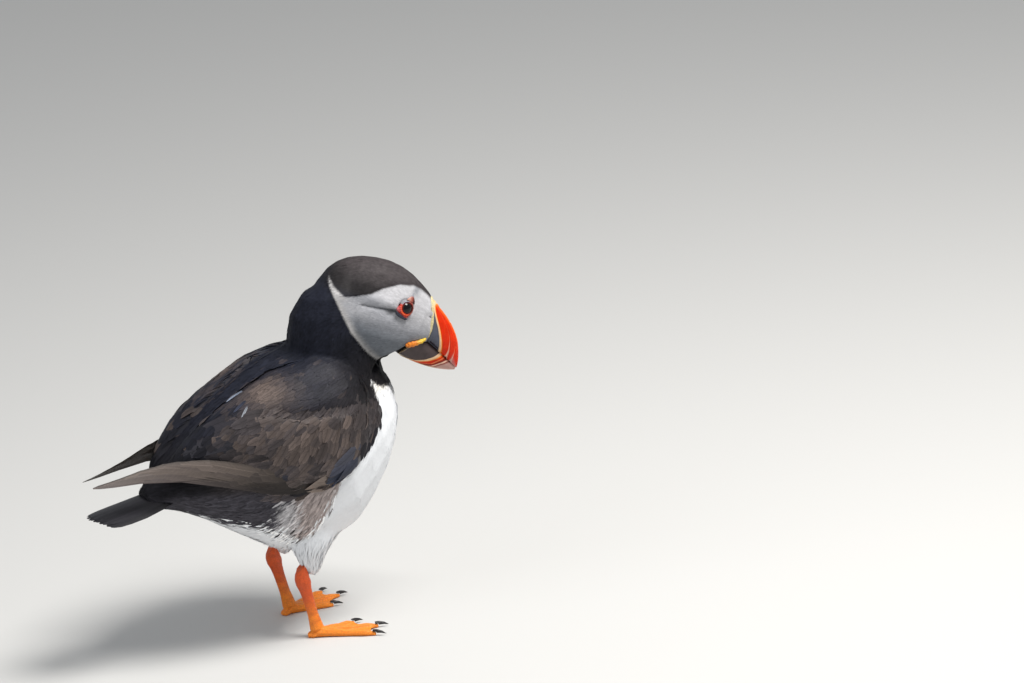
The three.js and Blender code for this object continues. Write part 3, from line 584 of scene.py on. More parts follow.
LIE_ON_BODY = [  # the same in millimetres from the floor's origin, for the left side and mirrored
    (22, 0, 172, -0.35, 0, -1), (40, 26, 162, -0.3, 0, -1), (52, 26, 148, -0.15, 0, -1), (72, 8, 138, 0.15, 0, -1),
    (80, 0, 115, 0, 0, -1), (74, 14, 100, -0.25, 0, -1), (62, 30, 112, -0.3, 0.1, -1), (66, 0, 80, -0.7, 0, -0.8),
    (50, 25, 82, -0.65, 0, -0.85), (30, 0, 50, -1, 0, -0.15), (30, 22, 62, -0.9, 0, -0.6), (-10, 0, 52, -1, 0, 0.2),
    (-40, 0, 68, -1, 0, 0.35), (-66, 0, 82, -1, 0, 0.2), (22, 38, 80, -0.4, 0, -1), (12, 34, 68, -0.5, 0, -1),
    (0, 35, 72, -0.8, 0, -0.75), (-20, 28, 76, -1, 0, -0.1), (-45, 16, 82, -1, 0, 0.05), (-70, 10, 92, -1, 0, 0),
    (8, 0, 158, -0.95, 0, -0.3), (-30, 0, 143, -1, 0, -0.4), (-62, 0, 120, -1, 0, -0.45),
    (30, 20, 154, -0.8, 0.2, -0.5), (48, 34, 134, -0.55, 0, -0.85), (53, 35, 120, -0.3, 0, -1),
    (44, 40, 108, -0.55, 0, -0.9), (34, 40, 142, -0.95, 0, -0.4), (10, 40, 142, -1, 0, -0.25),
    (-15, 30, 141, -1, 0, -0.3), (-40, 18, 132, -1, 0, -0.45), (34, 44, 118, -0.3, 0, -1),
    (16, 46, 116, -0.42, 0, -1), (0, 44, 114, -0.7, 0, -0.8), (-16, 40, 118, -0.95, 0, -0.4),
    (-36, 32, 120, -1, 0, -0.25),
    (30, 45, 98, -0.75, 0, -0.6), (12, 46, 93, -1, 0, -0.12), (-14, 42, 101, -1, 0, 0.16), (-40, 30, 110, -1, 0, 0.1),
    (8, 22, 46, -0.1, 0, -1), (20, 20, 46, -0.25, 0, -1), (-4, 22, 50, 0.05, 0, -1),
]
on_the_head, on_the_body = (
    np.array([np.array(row) * (1, mirror, 1, 1, mirror, 1) for row in table for mirror in (1, -1)])
    for table in (LIE_ON_HEAD, LIE_ON_BODY)
)
lie_places = np.concatenate([off_head(on_the_head[:, :3]), on_the_body[:, :3] * MM])
lie_ways = np.concatenate([on_the_head[:, 3:] @ HEAD_AXES, on_the_body[:, 3:]])
lie_ways /= np.linalg.norm(lie_ways, axis=1)[:, None]


def unit(vectors):
    return vectors / np.maximum(np.linalg.norm(vectors, axis=-1, keepdims=True), 1e-12)


def lie_of(points, normals):
    """The way the coat lies along the skin at points."""
    gap = ((points[:, None] - lie_places[None]) ** 2).sum(-1) + (2 * MM) ** 2
    way = (lie_ways[None] / gap[..., None] ** 1.6).sum(1)
    way -= normals * (way * normals).sum(-1, keepdims=True)
    return unit(way)


skin.data.calc_loop_triangles()
count = len(skin.data.loop_triangles)
tri_points, tri_loops = np.empty(count * 3, np.int32), np.empty(count * 3, np.int32)
skin.data.loop_triangles.foreach_get("vertices", tri_points)
skin.data.loop_triangles.foreach_get("loops", tri_loops)
tri_points, tri_loops = tri_points.reshape(-1, 3), tri_loops.reshape(-1, 3)
skin_points, skin_normals = points_of(skin.data), normals_of(skin.data)
skin_unwrap = np.empty(len(skin.data.loops) * 2, np.float32)
skin.data.uv_layers[0].uv.foreach_get("vector", skin_unwrap)
skin_unwrap = skin_unwrap.reshape(-1, 2)
corners = skin_points[tri_points]
tri_area = np.linalg.norm(np.cross(corners[:, 1] - corners[:, 0], corners[:, 2] - corners[:, 0]), axis=1) / 2
tri_middle = corners.mean(1)
hide = BVHTree.FromPolygons([tuple(p) for p in skin_points], [tuple(t) for t in tri_points.tolist()])


def on_hide(points):
    """The nearest place on the skin to each point, and the skin's normal there."""
    places, normals = np.empty((len(points), 3)), np.empty((len(points), 3))
    for i, point in enumerate(points.tolist()):
        place, _, face, _ = hide.find_nearest(point)
        places[i] = place
        normals[i] = skin_normals[tri_points[face]].sum(0)
    return places, unit(normals)


MOST_CELLS = 4096  # more than the skin has along any side


def scatter(wanted, pitch, dice):
    """Roots spread evenly over the wanted triangles of the skin: place, normal and place on its unwrap."""
    area = np.where(wanted, tri_area, 0)
    tries = int(area.sum() / pitch**2 * 7)
    pick = np.searchsorted(np.cumsum(area), dice.random(tries) * area.sum()).clip(0, len(area) - 1)
    share = dice.dirichlet((1, 1, 1), tries)
    place = (corners[pick] * share[..., None]).sum(1)
    cell = np.floor(place / pitch + dice.random(3)).astype(np.int64)
    _, first = np.unique(cell @ np.array([1, MOST_CELLS, MOST_CELLS**2]), return_index=True)
    pick, share, place = pick[first], share[first], place[first]
    normal = unit((skin_normals[tri_points[pick]] * share[..., None]).sum(1))
    unwrap = (skin_unwrap[tri_loops[pick]] * share[..., None]).sum(1)
    return place, normal, unwrap


def vane_faces(rows, columns):
    """The faces of one closed feather: a grid on top, strips from edge to edge beneath, and its two ends."""
    at = lambda row, column: row * columns + column
    last = columns - 1
    faces = []
    for row in range(rows - 1):
        for column in range(last):
            faces.append((at(row, column), at(row, column + 1), at(row + 1, column + 1), at(row + 1, column)))
        faces.append((at(row, last), at(row, 0), at(row + 1, 0), at(row + 1, last)))
    faces.append(tuple(at(0, column) for column in reversed(range(columns))))
    faces.append(tuple(at(rows - 1, column) for column in range(columns)))
    return [face[::-1] for face in faces]


def joined_mesh(title, points, faces):
    """One mesh of many like shapes; points is shapes by points by three, faces those of one shape."""
    shapes, each = points.shape[:2]
    corner = np.concatenate([np.array(face) for face in faces])
    sizes = np.array([len(face) for face in faces])
    loops = (corner[None] + np.arange(shapes)[:, None] * each).ravel()
    starts = (np.concatenate([[0], np.cumsum(sizes)[:-1]])[None] + np.arange(shapes)[:, None] * len(corner)).ravel()
    mesh = bpy.data.meshes.new(title)
    mesh.vertices.add(shapes * each)
    mesh.vertices.foreach_set("co", points.astype(np.float32).ravel())
    mesh.loops.add(len(loops))
    mesh.loops.foreach_set("vertex_index", loops.astype(np.int32))
    mesh.polygons.add(len(starts))
    mesh.polygons.foreach_set("loop_start", starts.astype(np.int32))
    mesh.update(calc_edges=True)
    mesh.validate()
    mesh.polygons.foreach_set("use_smooth", np.ones(len(mesh.polygons), bool))
    return new_piece(title, mesh), loops


PATCH = 0.003  # a feather's room on the unwrap of the skin


def feather_piece(title, spine, across, out, half, shape, unwrap, colour, dice):
    """One mesh of closed feathers from their shafts, with their colours and their places on the skin's unwrap."""
    number, columns = len(spine), shape["columns"]
    rows = np.array(shape["rows"], float)
    t, spread = rows[:, 0], np.linspace(-1, 1, columns)
    length = np.linalg.norm(np.diff(spine, axis=1), axis=-1).sum(1)
    across = across * np.sign((np.cross(out, np.gradient(spine, axis=1)) * across).sum(-1, keepdims=True))
    points = spine[:, :, None] + across[:, :, None] * (half[..., None] * spread)[..., None]
    crown = shape.get("crown", 0.3) * (1 - spread**2)
    points = points + out[:, :, None] * (half[..., None] * crown)[..., None]
    along = unit(np.gradient(spine, axis=1))
    ragged = shape.get("ragged", 0)
    if ragged:
        pull = dice.normal(size=(number, 1, columns)) * (t[None, :, None] ** 4) * ragged * half.max(1)[:, None, None]
        points = points + along[:, :, None] * pull[..., None]
    piece, loops = joined_mesh(title, points.reshape(number, -1, 3), vane_faces(len(rows), columns))
    # Light falls on a feather as on the soft coat around it, so its normals lean back to the skin's own.
    own_up = unit(np.cross(np.gradient(points, axis=2), np.gradient(points, axis=1)))
    own_up *= np.sign((own_up * out[:, :, None]).sum(-1, keepdims=True))
    soft = shape.get("soft", 0.7) * ease((own_up * out[:, :, None]).sum(-1, keepdims=True), 0.1, 0.6)
    above = unit(out[:, :, None] * soft + own_up * (1 - soft)).reshape(-1, 3)
    facing = np.tile([1] * 4 * (columns - 1) + [-1] * 4, len(rows) - 1)
    facing = np.tile(np.concatenate([facing, np.full(2 * columns, -1)]), number)[:, None]
    bent = np.where(facing > 0, above[loops], -own_up.reshape(-1, 3)[loops])
    piece.data.normals_split_custom_set(bent)
    light = shape["shade"](t[None, :, None], spread[None, None, :])
    light = light * np.exp(dice.normal(size=(number, 1, 1)) * shape.get("mottle", 0.1))
    colour = colour[:, None] if colour.ndim == 2 else colour
    stain(piece.data, "plumage", (colour[:, :, None] * light[..., None]).reshape(-1, 3))
    flat = np.stack(np.broadcast_arrays(spread[None, :] * 0.5, t[:, None] - 0.5), -1).reshape(-1, 2) * PATCH
    patch = (unwrap[:, None] + flat[None]).reshape(-1, 2)
    bake = piece.data.uv_layers.new(name="OFBake")
    bake.uv.foreach_set("vector", patch[loops].astype(np.float32).ravel())
    vane = piece.data.attributes.new("vane", "FLOAT_VECTOR", "POINT")
    own = np.stack(np.broadcast_arrays(
        spread[None, None, :] * half[..., None] / MM,
        t[None, :, None] * length[:, None, None] / MM,
        dice.random(number)[:, None, None] * 50,
    ), -1)
    vane.data.foreach_set("vector", own.astype(np.float32).ravel())
    return piece


def grow_feathers(title, roots, shape, dice):
    """Feathers on the skin. shape gives rows of (share of the length, width, rise) and the feathers' size."""
    place, normal, unwrap = roots[:3]
    number = len(place)
    rows = np.array(shape["rows"], float)
    size = shape["size"](place) if "size" in shape else np.ones(number)
    vary = 1 + shape.get("vary", 0.15) * dice.normal(size=number).clip(-2, 2)
    length = np.asarray(shape["length"]) * MM * vary * size
    width = np.asarray(shape["width"]) * MM * (1 + 0.12 * dice.normal(size=number).clip(-2, 2)) * size
    way = lie_of(place, normal) if len(roots) < 4 else roots[3]
    way = unit(way + np.cross(normal, way) * (shape.get("stray", 0.1) * dice.normal(size=number))[:, None])
    middle, middle_normal = on_hide(place + way * length[:, None] * 0.5)
    end, end_normal = on_hide(middle + unit(middle - place) * length[:, None] * 0.5)
    t = rows[:, 0]
    weights = np.stack([(1 - t) * (1 - 2 * t), 4 * t * (1 - t), t * (2 * t - 1)], -1)
    spine = np.einsum("kw,wni->nki", weights, np.stack([place, middle, end]))
    out = unit(np.einsum("kw,wni->nki", weights, np.stack([normal, middle_normal, end_normal])))
    across = unit(np.cross(out, np.gradient(spine, axis=1)))
    ruffle = 1 + shape.get("ruffle", 0.25) * dice.normal(size=number).clip(-1.5, 2.5)
    lift = np.asarray(shape["lift"]) * MM * size * ruffle
    spine = spine + out * (rows[:, 2][None] * lift[:, None])[..., None]
    half = width[:, None] * 0.5 * rows[:, 1][None]
    fray = dice.normal(size=number) * shape.get("fray", 0.5)
    if "tint" in shape:
        colour = shape["tint"](place, markings(place * 0.2 + end * 0.8, fray), dice)
    else:
        colour = markings(spine.reshape(-1, 3), np.repeat(fray, len(rows))).reshape(number, len(rows), 3)
    return feather_piece(title, spine, across, out, half, shape, unwrap, colour, dice)


def soft_shade(root, tip, edge):
    """A feather's lightness from its root to its tip and out to its edges; the darker root is painted shade where the
    feathers over it cover it.
    """
    def shade(t, across):
        return root + (tip - root) * t + edge * across**2
    return shade


SMALL_ROWS = [(0, 0.3, -0.25), (0.32, 1, 0.45), (0.76, 0.85, 0.9), (1, 0.28, 1)]
tx, ty, tz = tri_middle.T / MM
th, tl, tu = on_head(tri_middle).T
face_patch = inside(FACE, th, tu)
LID = [  # turn from straight ahead to up, and how far the lid skin reaches, in millimetres
    (-47, 4.5), (-30, 4.25), (-5, 4.1), (20, 4.1), (50, 4.2), (80, 3.8), (110, 3.4), (140, 3.35), (165, 3.6),
    (185, 4.4), (208, 6.0), (230, 5.05), (250, 4.8), (265, 5.1), (283, 5.9), (300, 5.2), (313, 4.5), (330, 4.25),
    (355, 4.1), (380, 4.1),
]


def eye_frame(side):
    """An eye's middle and its own directions: out of the head, forward and up."""
    middle, axis = EYES[side]
    fore = unit(HEAD_AXES[0] - axis * (HEAD_AXES[0] @ axis))
    rise = np.cross(axis, fore)
    return middle, axis, fore, rise * np.sign(rise @ HEAD_AXES[2])


def off_lid(points):
    """How far outside the nearer eye's lid each point lies, in millimetres, and whether it is ahead of the eye."""
    gap, before = np.full(len(points), 90.0), np.zeros(len(points))
    for side in EYES:
        middle, _, fore, rise = eye_frame(side)
        arm = (points - middle) / MM
        a, b = arm @ fore, arm @ rise
        off = np.hypot(a, b) - np.interp(np.degrees(np.arctan2(b, a)) % 360, *np.array(LID).T)
        near = np.linalg.norm(arm, axis=1) < 14
        gap, before = np.where(near, off, gap), np.where(near, a, before)
    return gap, before


eye_room, _ = off_lid(tri_middle)
HEAD_ZONE = (tz > 138) & (th > -36)
WING = [
    (47, 141), (53, 131), (54.5, 126), (55.2, 119.5), (52.5, 112), (48.4, 108), (40.5, 102.5), (32, 96), (24, 89),
    (8, 86.5), (-10, 90), (-30, 99), (-50, 107), (-62, 112), (-64, 120), (-50, 129), (-30, 140), (-10, 149),
    (8, 154), (28, 152), (40, 147),
]
wing_side = (inside(WING, tx, tz) > 0) & (np.abs(ty) > 7)
on_face = HEAD_ZONE & (face_patch > -0.6) & (th > -29)
on_cap = HEAD_ZONE & ~on_face & (tu > -3) & (th > -33) & (tz > 150)
on_neck = ~on_face & ~on_cap & ((tz > 128) & (np.hypot(tx - 46, ty + 4) < 42) & (tx > 12) | (tz > 158)) & ~wing_side
on_thigh = (tz < 56) & (np.abs(ty) > 9) & (tx > -12) & (tx < 34)
white_side = inside(WHITE, tx, tz) > -0.8
taken = on_face | on_cap | on_neck | on_thigh | wing_side
on_breast = ~taken & white_side & (tx > 22)
on_belly = ~taken & ~on_breast & (white_side | (tz < 74) & (np.abs(ty) < 14))
on_back = ~taken & ~on_breast & ~on_belly & (tz > 100 + 0.25 * (tx + 60))
on_flank = ~taken & ~on_breast & ~on_belly & ~on_back
slit_gap, slit_share = off_line(SLIT, th, tu)
in_slit = (slit_gap < 0.75 - 0.35 * slit_share) & (np.abs(tl) > 10) & (th < 12.5)
clear = (eye_room > 0.2) & ~in_slit & (past_chin(th, tu) < 0.4)


def head_size(points):
    """Feathers are smallest by the bill and round the eyes."""
    f = on_head(points)[:, 0]
    room, before = off_lid(points)
    size = (0.62 + 0.38 * (1 - ease(f, 8, 30))) * (0.62 + 0.38 * ease(room, 0, 7))
    return np.where(before > 0, np.minimum(size, 0.28 + 0.32 * np.maximum(room, 0)), size)


def face_size(points):
    """On the face they are shorter still along the border with the cap and nape, which is crisp."""
    f, _, u = on_head(points).T
    return head_size(points) * (0.42 + 0.58 * ease(inside(FACE, f, u), 0.2, 4))


def breast_size(points):
    """Feathers of the breast are short along the collar and the wing's front edge."""
    return 0.42 + 0.58 * ease(inside(WHITE, points[:, 0] / MM, points[:, 2] / MM), 0, 9)


COATS = [
    ("face_feathers", on_face & clear, 0.79, "face_plumage", dict(
        length=3.1, width=0.76, lift=0.12, size=face_size, stray=0.06, ruffle=0.1, fray=0.22, mottle=0.055,
        crown=0.08, soft=0.88, shade=soft_shade(0.95, 1.03, -0.02))),
    ("cap_feathers", on_cap, 0.8, "black_plumage", dict(
        length=3.4, width=0.8, lift=0.2, size=head_size, stray=0.08, ruffle=0.1, fray=0.22, mottle=0.09, crown=0.1,
        soft=0.8, shade=soft_shade(0.85, 1.12, 0.03))),
    ("neck_feathers", on_neck, 1.0, "black_plumage", dict(
        length=4.6, width=1.1, lift=0.34, stray=0.09, fray=0.3, mottle=0.11, crown=0.12,
        soft=0.75, shade=soft_shade(0.82, 1.15, 0.04))),
    ("breast_feathers", on_breast, 1.1, "white_plumage", dict(
        length=7.5, width=1.8, lift=0.16, size=breast_size, stray=0.05, ruffle=0.1, fray=0.25, mottle=0.006,
        crown=0.04, soft=0.93, shade=soft_shade(0.98, 1.0, 0))),
    ("belly_feathers", on_belly, 1.3, "white_plumage", dict(
        length=9, width=1.9, lift=0.32, stray=0.1, fray=1.2, mottle=0.01, crown=0.06,
        soft=0.88, shade=soft_shade(0.97, 1.0, 0))),
    ("back_feathers", on_back, 1.4, "black_plumage", dict(
        length=7.6, width=2.0, lift=0.45, stray=0.09, fray=0.6, mottle=0.12, crown=0.1,
        soft=0.75, shade=soft_shade(0.8, 1.18, 0.04))),
    ("flank_feathers", on_flank, 1.3, "black_plumage", dict(
        length=9.5, width=1.3, lift=0.5, stray=0.13, fray=2.2, mottle=0.2, crown=0.12,
        soft=0.75, shade=soft_shade(0.84, 1.12, 0.06))),
    ("thigh_feathers", on_thigh, 1.2, "white_plumage", dict(
        length=8.5, width=1.0, lift=0.5, stray=0.16, vary=0.28, ruffle=0.9, mottle=0.02, crown=0.08,
        soft=0.8, shade=soft_shade(0.95, 1.0, 0))),
]
FEATHER_LOOK = {
    "black_plumage": stained_material("black body feathers", 0.62, 0.12, barb_grain, Speckle=0.16)[0],
    "white_plumage": stained_material("white body feathers", 0.75, 0.1, barb_grain, Speckle=0.02)[0],
    "face_plumage": stained_material("face feathers", 0.8, 0.08, barb_grain, Speckle=0.05)[0],
}
for number, (title, wanted, pitch, slot, shape) in enumerate(COATS):
    dice = np.random.default_rng(100 + number)
    shape = dict(rows=SMALL_ROWS, columns=3, **shape)
    coat = grow_feathers(title, scatter(wanted, pitch * MM * (1), dice), shape, dice)
    coat.data.materials.append(FEATHER_LOOK[slot])
    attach(coat, "root")

# Wing plumage: on each side the smooth blue-black scapulars from the shoulder, the worn brown coverts
# below them, and the larger feathers whose rounded tips show along the wing's lower and rear edges.


# Large feathers: barbs that slope from the shaft to the tip, and the shaft itself.
vane_barbs, takes, gives = shared_effect(
    "vane barbs", {"Stain": "Color", "Barb": "Float", "Shaft": "Float"}, STAIN_TO_FINISH)
vane = add_node(vane_barbs, "ShaderNodeAttribute", attribute_name="vane").outputs["Vector"]
part = add_node(vane_barbs, "ShaderNodeSeparateXYZ", {"Vector": vane}).outputs
aside = figure(vane_barbs, "ABSOLUTE", part["X"])
along_barb = add_node(vane_barbs, "ShaderNodeCombineXYZ", {
    "X": figure(vane_barbs, "MULTIPLY_ADD", aside, -1.3, part["Y"]), "Y": part["Z"],
    "Z": figure(vane_barbs, "MULTIPLY", part["X"], 0.12)})
barb = noise(vane_barbs, along_barb.outputs[0], 2.6, 3.0)
darkest = figure(vane_barbs, "SUBTRACT", 1, takes["Barb"])
lightest = figure(vane_barbs, "ADD", 1, takes["Barb"])
light = figure(
    vane_barbs, "MULTIPLY", remap(vane_barbs, barb, 0.3, 0.7, darkest, lightest),
    remap(vane_barbs, aside, 0.14, 0.3, takes["Shaft"], 1.0))
join(vane_barbs, dimmed(vane_barbs, takes["Stain"], light), gives["Colour"])
join(vane_barbs, relief(vane_barbs, barb, 0.4, 0.0003), gives["Normal"])
wing_vane, _ = stained_material("wing feathers", 0.55, 0.14, vane_barbs, Barb=0.2, Shaft=0.7)
quill_vane, _ = stained_material("flight feathers", 0.46, 0.2, vane_barbs, Barb=0.14, Shaft=1.4)
LARGE_ROWS = [(0, 0.4, -0.3), (0.2, 0.85, 0.2), (0.45, 1, 0.6), (0.7, 0.95, 0.9), (0.88, 0.68, 1), (1, 0.16, 1)]
QUILL_ROWS = [
    (0, 0.35, 0), (0.08, 0.7, 0.2), (0.2, 0.95, 0.5), (0.4, 1, 0.8), (0.6, 1, 1), (0.78, 0.9, 1), (0.9, 0.68, 1),
    (0.97, 0.38, 1), (1, 0.12, 1),
]


def from_side(places, side):
    """Roots on the skin seen from the side, at places given along and up."""
    roots = []
    for a, b in places:
        place, normal, face, _ = hide.ray_cast(Vector((a * MM, side * 0.09, b * MM)), Vector((0, -side, 0)))
        if place is None:
            place, normal, face, _ = hide.find_nearest(Vector((a * MM, side * 0.012, b * MM)))
        roots.append((*place, *unit(skin_normals[tri_points[face]].sum(0)), *skin_unwrap[tri_loops[face]].mean(0)))
    roots = np.array(roots)
    return roots[:, :3], roots[:, 3:6], roots[:, 6:8]


def worn_edges(low, high, most):
    """Some feathers are bleached browner than their neighbours, most between two places along the wing."""
    def tint(place, colour, dice):
        x, z = place[:, 0] / MM, place[:, 2] / MM
        chance = 0.08 + 0.6 * ease(x, low - 6, low + 6) * (1 - ease(x, high - 6, high + 6))
        worn = (dice.random(len(place)) < chance) * dice.uniform(0.1, most, len(place))
        colour = np.where(colour.mean(1, keepdims=True) > 0.16, INK * 1.6, colour)
        return blend(colour, WORN_BROWN, worn)
    return tint


def bright_edges(root, tip, edge):
    """A feather darker at its root, painted shade where its neighbours cover it, and paler along its edges towards its
    tip, partly from wear and partly a painted highlight where the edges catch the light.
    """
    def shade(t, across):
        return root + (tip - root) * t + edge * np.abs(across) ** 3 * ease(t, 0.25, 0.8)
    return shade


def quill_shade(t, across):
    """A quill is darker towards its root, painted shade under the feathers that lie over it, pale along one edge, and
    darker where the next one covers the other, again painted shade.
    """
    return (0.24 + 0.93 * ease(t, 0.15, 0.8)) * (1 + 0.25 * ease(across, 0.5, 1) - 0.5 * ease(-across, 0.55, 0.95))


def toward_front(points):
    """Coverts are smallest along the wing's front edge."""
    front_edge = [(86, 24), (96, 32), (102, 40), (108, 48), (112, 52), (119, 55), (126, 54), (132, 52), (141, 47)]
    front = np.interp(points[:, 2] / MM, *np.array(front_edge).T)
    return 0.55 + 0.45 * ease(front - points[:, 0] / MM, 0, 14)


# Large feathers laid one by one, as root and tip along and up, then their width, rise and colour.
SECONDARIES = [
    (47, 113, 17, 98, 6, 1.3, (62, 63, 72)), (45, 109, 13, 95, 6, 1.25, (58, 60, 71)),
    (42, 105, 9, 92.6, 6, 1.1, (52, 55, 67)), (38, 101, 12, 90.5, 6.5, 1.0, (48, 52, 64)),
    (33, 97, 14, 88.5, 6.5, 0.9, (42, 46, 58)), (26, 94, 3, 88.6, 8, 0.75, (112, 101, 94)),
    (18, 103, -14, 97.5, 6.5, 0.9, (55, 53, 58)), (12, 100, -18, 96, 6.5, 0.8, (46, 46, 54)),
    (4, 97, -27, 96.2, 8, 0.7, (74, 69, 70)), (-10, 104, -36, 102, 7, 0.8, (50, 49, 54)),
]
TERTIALS = [
    (-26, 131, -47, 124.5, 7.5, 0.9, (46, 44, 49)), (-22, 121, -56, 117, 9, 0.9, (44, 43, 48)),
    (-24, 114, -57, 112, 9, 0.9, (42, 42, 47)), (-22, 128, -54, 123, 9, 0.8, (46, 44, 49)),
]
RUFFLED = [(-12.5, 141, -24, 137, 1.9, 0.9), (-15, 138.5, -24, 133, 1.5, 1.0), (-16, 136.5, -23, 129.5, 1.7, 1.0)]


def lay(title, list_of, side, shape, dice):
    """Feathers laid from root to tip on one side of the body."""
    made = np.array([row[:6] for row in list_of], float)
    place, normal, unwrap = from_side(made[:, :2], side)
    tip = from_side(made[:, 2:4], side)[0]
    way = tip - place
    length = np.linalg.norm(way, axis=1) / MM
    way = unit(way - normal * (way * normal).sum(-1, keepdims=True))
    own = np.array([tone(*row[6]) for row in list_of])
    return grow_feathers(title, (place, normal, unwrap, way), dict(
        rows=QUILL_ROWS, columns=7, length=length * 1.03, width=made[:, 4], lift=made[:, 5], stray=0.01, vary=0.02,
        ruffle=0.05, mottle=0.06, tint=lambda at, colour, dice: own, **shape), dice)


quick = 1
quills_count, tail_count = 9, 16
MIDDLE_X = 14.9  # the legs' middle, from which quills and tail feathers are measured backwards
for side, word in ((1, "left"), (-1, "right")):
    dice = np.random.default_rng(300 + side)
    mine = wing_side & (ty * side > 0)
    high = over_fold(tx, tz) > 0
    scapulars = grow_feathers(f"{word}_scapulars", scatter(mine & high, 1.75 * MM * quick, dice), dict(
        rows=LARGE_ROWS, columns=3, length=12.5, width=3.4, lift=0.5, size=toward_front, stray=0.1, fray=0.5,
        mottle=0.1, crown=0.08, ragged=0.2, soft=0.78, shade=bright_edges(0.84, 1.1, 0.14),
        tint=worn_edges(-22, 6, 0.2)), dice)
    coverts = grow_feathers(f"{word}_coverts", scatter(mine & ~high, 2.7 * MM * quick, dice), dict(
        rows=QUILL_ROWS, columns=7, length=12.5, width=4.4, lift=0.9, size=toward_front, stray=0.14, fray=0.8,
        mottle=0.16, crown=0.12, ragged=0.22, soft=0.5, shade=bright_edges(0.6, 1.15, 0.4),
        tint=worn_edges(-30, 36, 0.5)), dice)
    looks = dict(crown=0.12, ragged=0.03, soft=0.4, shade=bright_edges(0.85, 1.12, 0.35))
    secondaries = lay(f"{word}_secondary_feathers", SECONDARIES, side, looks, dice)
    tertials = lay(f"{word}_tertials", TERTIALS, side, looks, dice)
    pieces = [scapulars, coverts, secondaries, tertials]
    if side < 0:
        white = [(*row, own) for row, own in zip(RUFFLED, ((132, 140, 156), (58, 62, 78), (150, 154, 162)))]
        looks = dict(crown=0.2, ragged=0.3, soft=0.5, shade=bright_edges(0.3, 1.1, 0.1))
        pieces.append(lay("right_ruffled_feathers", white, side, looks, dice))
    for piece in pieces:
        piece.data.materials.append(wing_vane)
        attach(piece, "root")

    # Flight feathers: nine stiff quills per wing, closed like a fan with the longest lowest.
    rows = np.array(QUILL_ROWS)
    span = np.array([
        (6, 43.4, 92, 4, 6), (14, 43, 93, 5.5, 8), (36, 38.5, 98.6, 6.8, 14), (58, 28.5, 106.2, 6.8, 24),
        (76, 18, 109, 6.2, 36), (90, 12, 108.5, 5, 46), (107, 8, 106.8, 3.4, 55), (118, 6.4, 105.6, 1.3, 58),
    ], float)
    spine, across, out = [], [], []
    for i in range(quills_count):
        low = i / (quills_count - 1)
        behind = 8 + (52 + 54 * low**0.8 + 2) * rows[:, 0]
        y, z, wide, tilt = (np.interp(behind, span[:, 0], column) for column in span[:, 1:].T)
        tilt = np.radians(tilt)
        face = np.stack([0 * y, side * np.cos(tilt), np.sin(tilt)], -1)
        rise = np.stack([0 * y, -side * np.sin(tilt), np.cos(tilt)], -1)
        shift = (0.72 - 1.4 * low) * wide * (1 - 0.25 * rows[:, 0])
        line = np.stack([MIDDLE_X - behind, side * y, z], -1) + rise * shift[:, None] + face * (1.1 - 2.2 * low)
        spine.append(line * MM)
        across.append(unit(rise + face * 0.12))
        out.append(face)
    spine, across, out = np.array(spine), np.array(across), np.array(out)
    half = np.linspace(3.6, 3.0, quills_count)[:, None] * rows[:, 1][None] * MM
    colour = coloured(quills_count, tone(70, 63, 61), (tone(98, 88, 81), dice.random(quills_count) * 0.7))
    quills = feather_piece(f"{word}_flight_feathers", spine, across, out, half, dict(
        rows=QUILL_ROWS, columns=9, crown=0.14, mottle=0.1, soft=0.4, shade=quill_shade,
    ), np.tile(from_side([(0, 98)], side)[2], (quills_count, 1)), colour, dice)
    quills.data.materials.append(quill_vane)
    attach(quills, "root")
    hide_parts(f"{word}_primaries")

# Tail: sixteen short black feathers in a shallow roof, the middle pair on top, over white coverts.
dice = np.random.default_rng(400)
rows = np.array(QUILL_ROWS)
span = np.array([(62, 95, 8), (66, 94, 9), (78, 91, 13), (92, 88.5, 16), (106, 86.5, 17), (118, 85, 16)], float)
spine, across, out = [], [], []
for i in range(tail_count):
    place = (i - (tail_count - 1) / 2) / ((tail_count - 1) / 2)
    behind = 62 + (56 - 7 * abs(place) ** 1.6) * rows[:, 0]
    z, wide = (np.interp(behind, span[:, 0], column) for column in span[:, 1:].T)
    line = np.stack([MIDDLE_X - behind, place * wide * 0.8, z + 1.2 - 3.2 * place**2 - 0.3 * (i % 2)], -1)
    lean = -place * 0.4
    spine.append(line * MM)
    across.append(np.tile([0, math.cos(lean), math.sin(lean)], (len(rows), 1)))
    out.append(np.tile([0, -math.sin(lean), math.cos(lean)], (len(rows), 1)))
half = np.full((tail_count, 1), 3.9) * rows[:, 1][None] * MM
colour = np.tile(tone(30, 29, 33), (tail_count, 1))
unwrap = np.tile(from_side([(-60, 95)], 1)[2], (tail_count, 1))
tail = feather_piece("tail_feathers", np.array(spine), np.array(across), np.array(out), half, dict(
    rows=QUILL_ROWS, columns=9, crown=0.12, mottle=0.1, soft=0.4, shade=bright_edges(0.85, 1.1, 0.25),
), unwrap, colour, dice)
tail.data.materials.append(quill_vane)
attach(tail, "root")
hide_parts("tail")

# Bill: two horny mandibles of plates laid down along growth lines, held on the jaw bones. A slate plate lies
# at the base, then a cream ridge, then red horn crossed by two pale grooves, and greyish tips that meet.


def bow(start, end, bulge):
    """An arc in the head's middle plane: ahead and up at each share of the way."""
    start, end = np.array(start), np.array(end)
    chord = np.linalg.norm(end - start)
    radius = chord * chord / (8 * bulge) + bulge / 2
    half = math.asin(chord / 2 / radius)
    way = (end - start) / chord
    beside = np.array([-way[1], way[0]])

    def at(share):
        angle = (2 * np.asarray(share) - 1) * half
        run, off = chord / 2 + radius * np.sin(angle), radius * np.cos(angle) - radius + bulge
        return start + way * run[..., None] + beside * off[..., None]
    return at


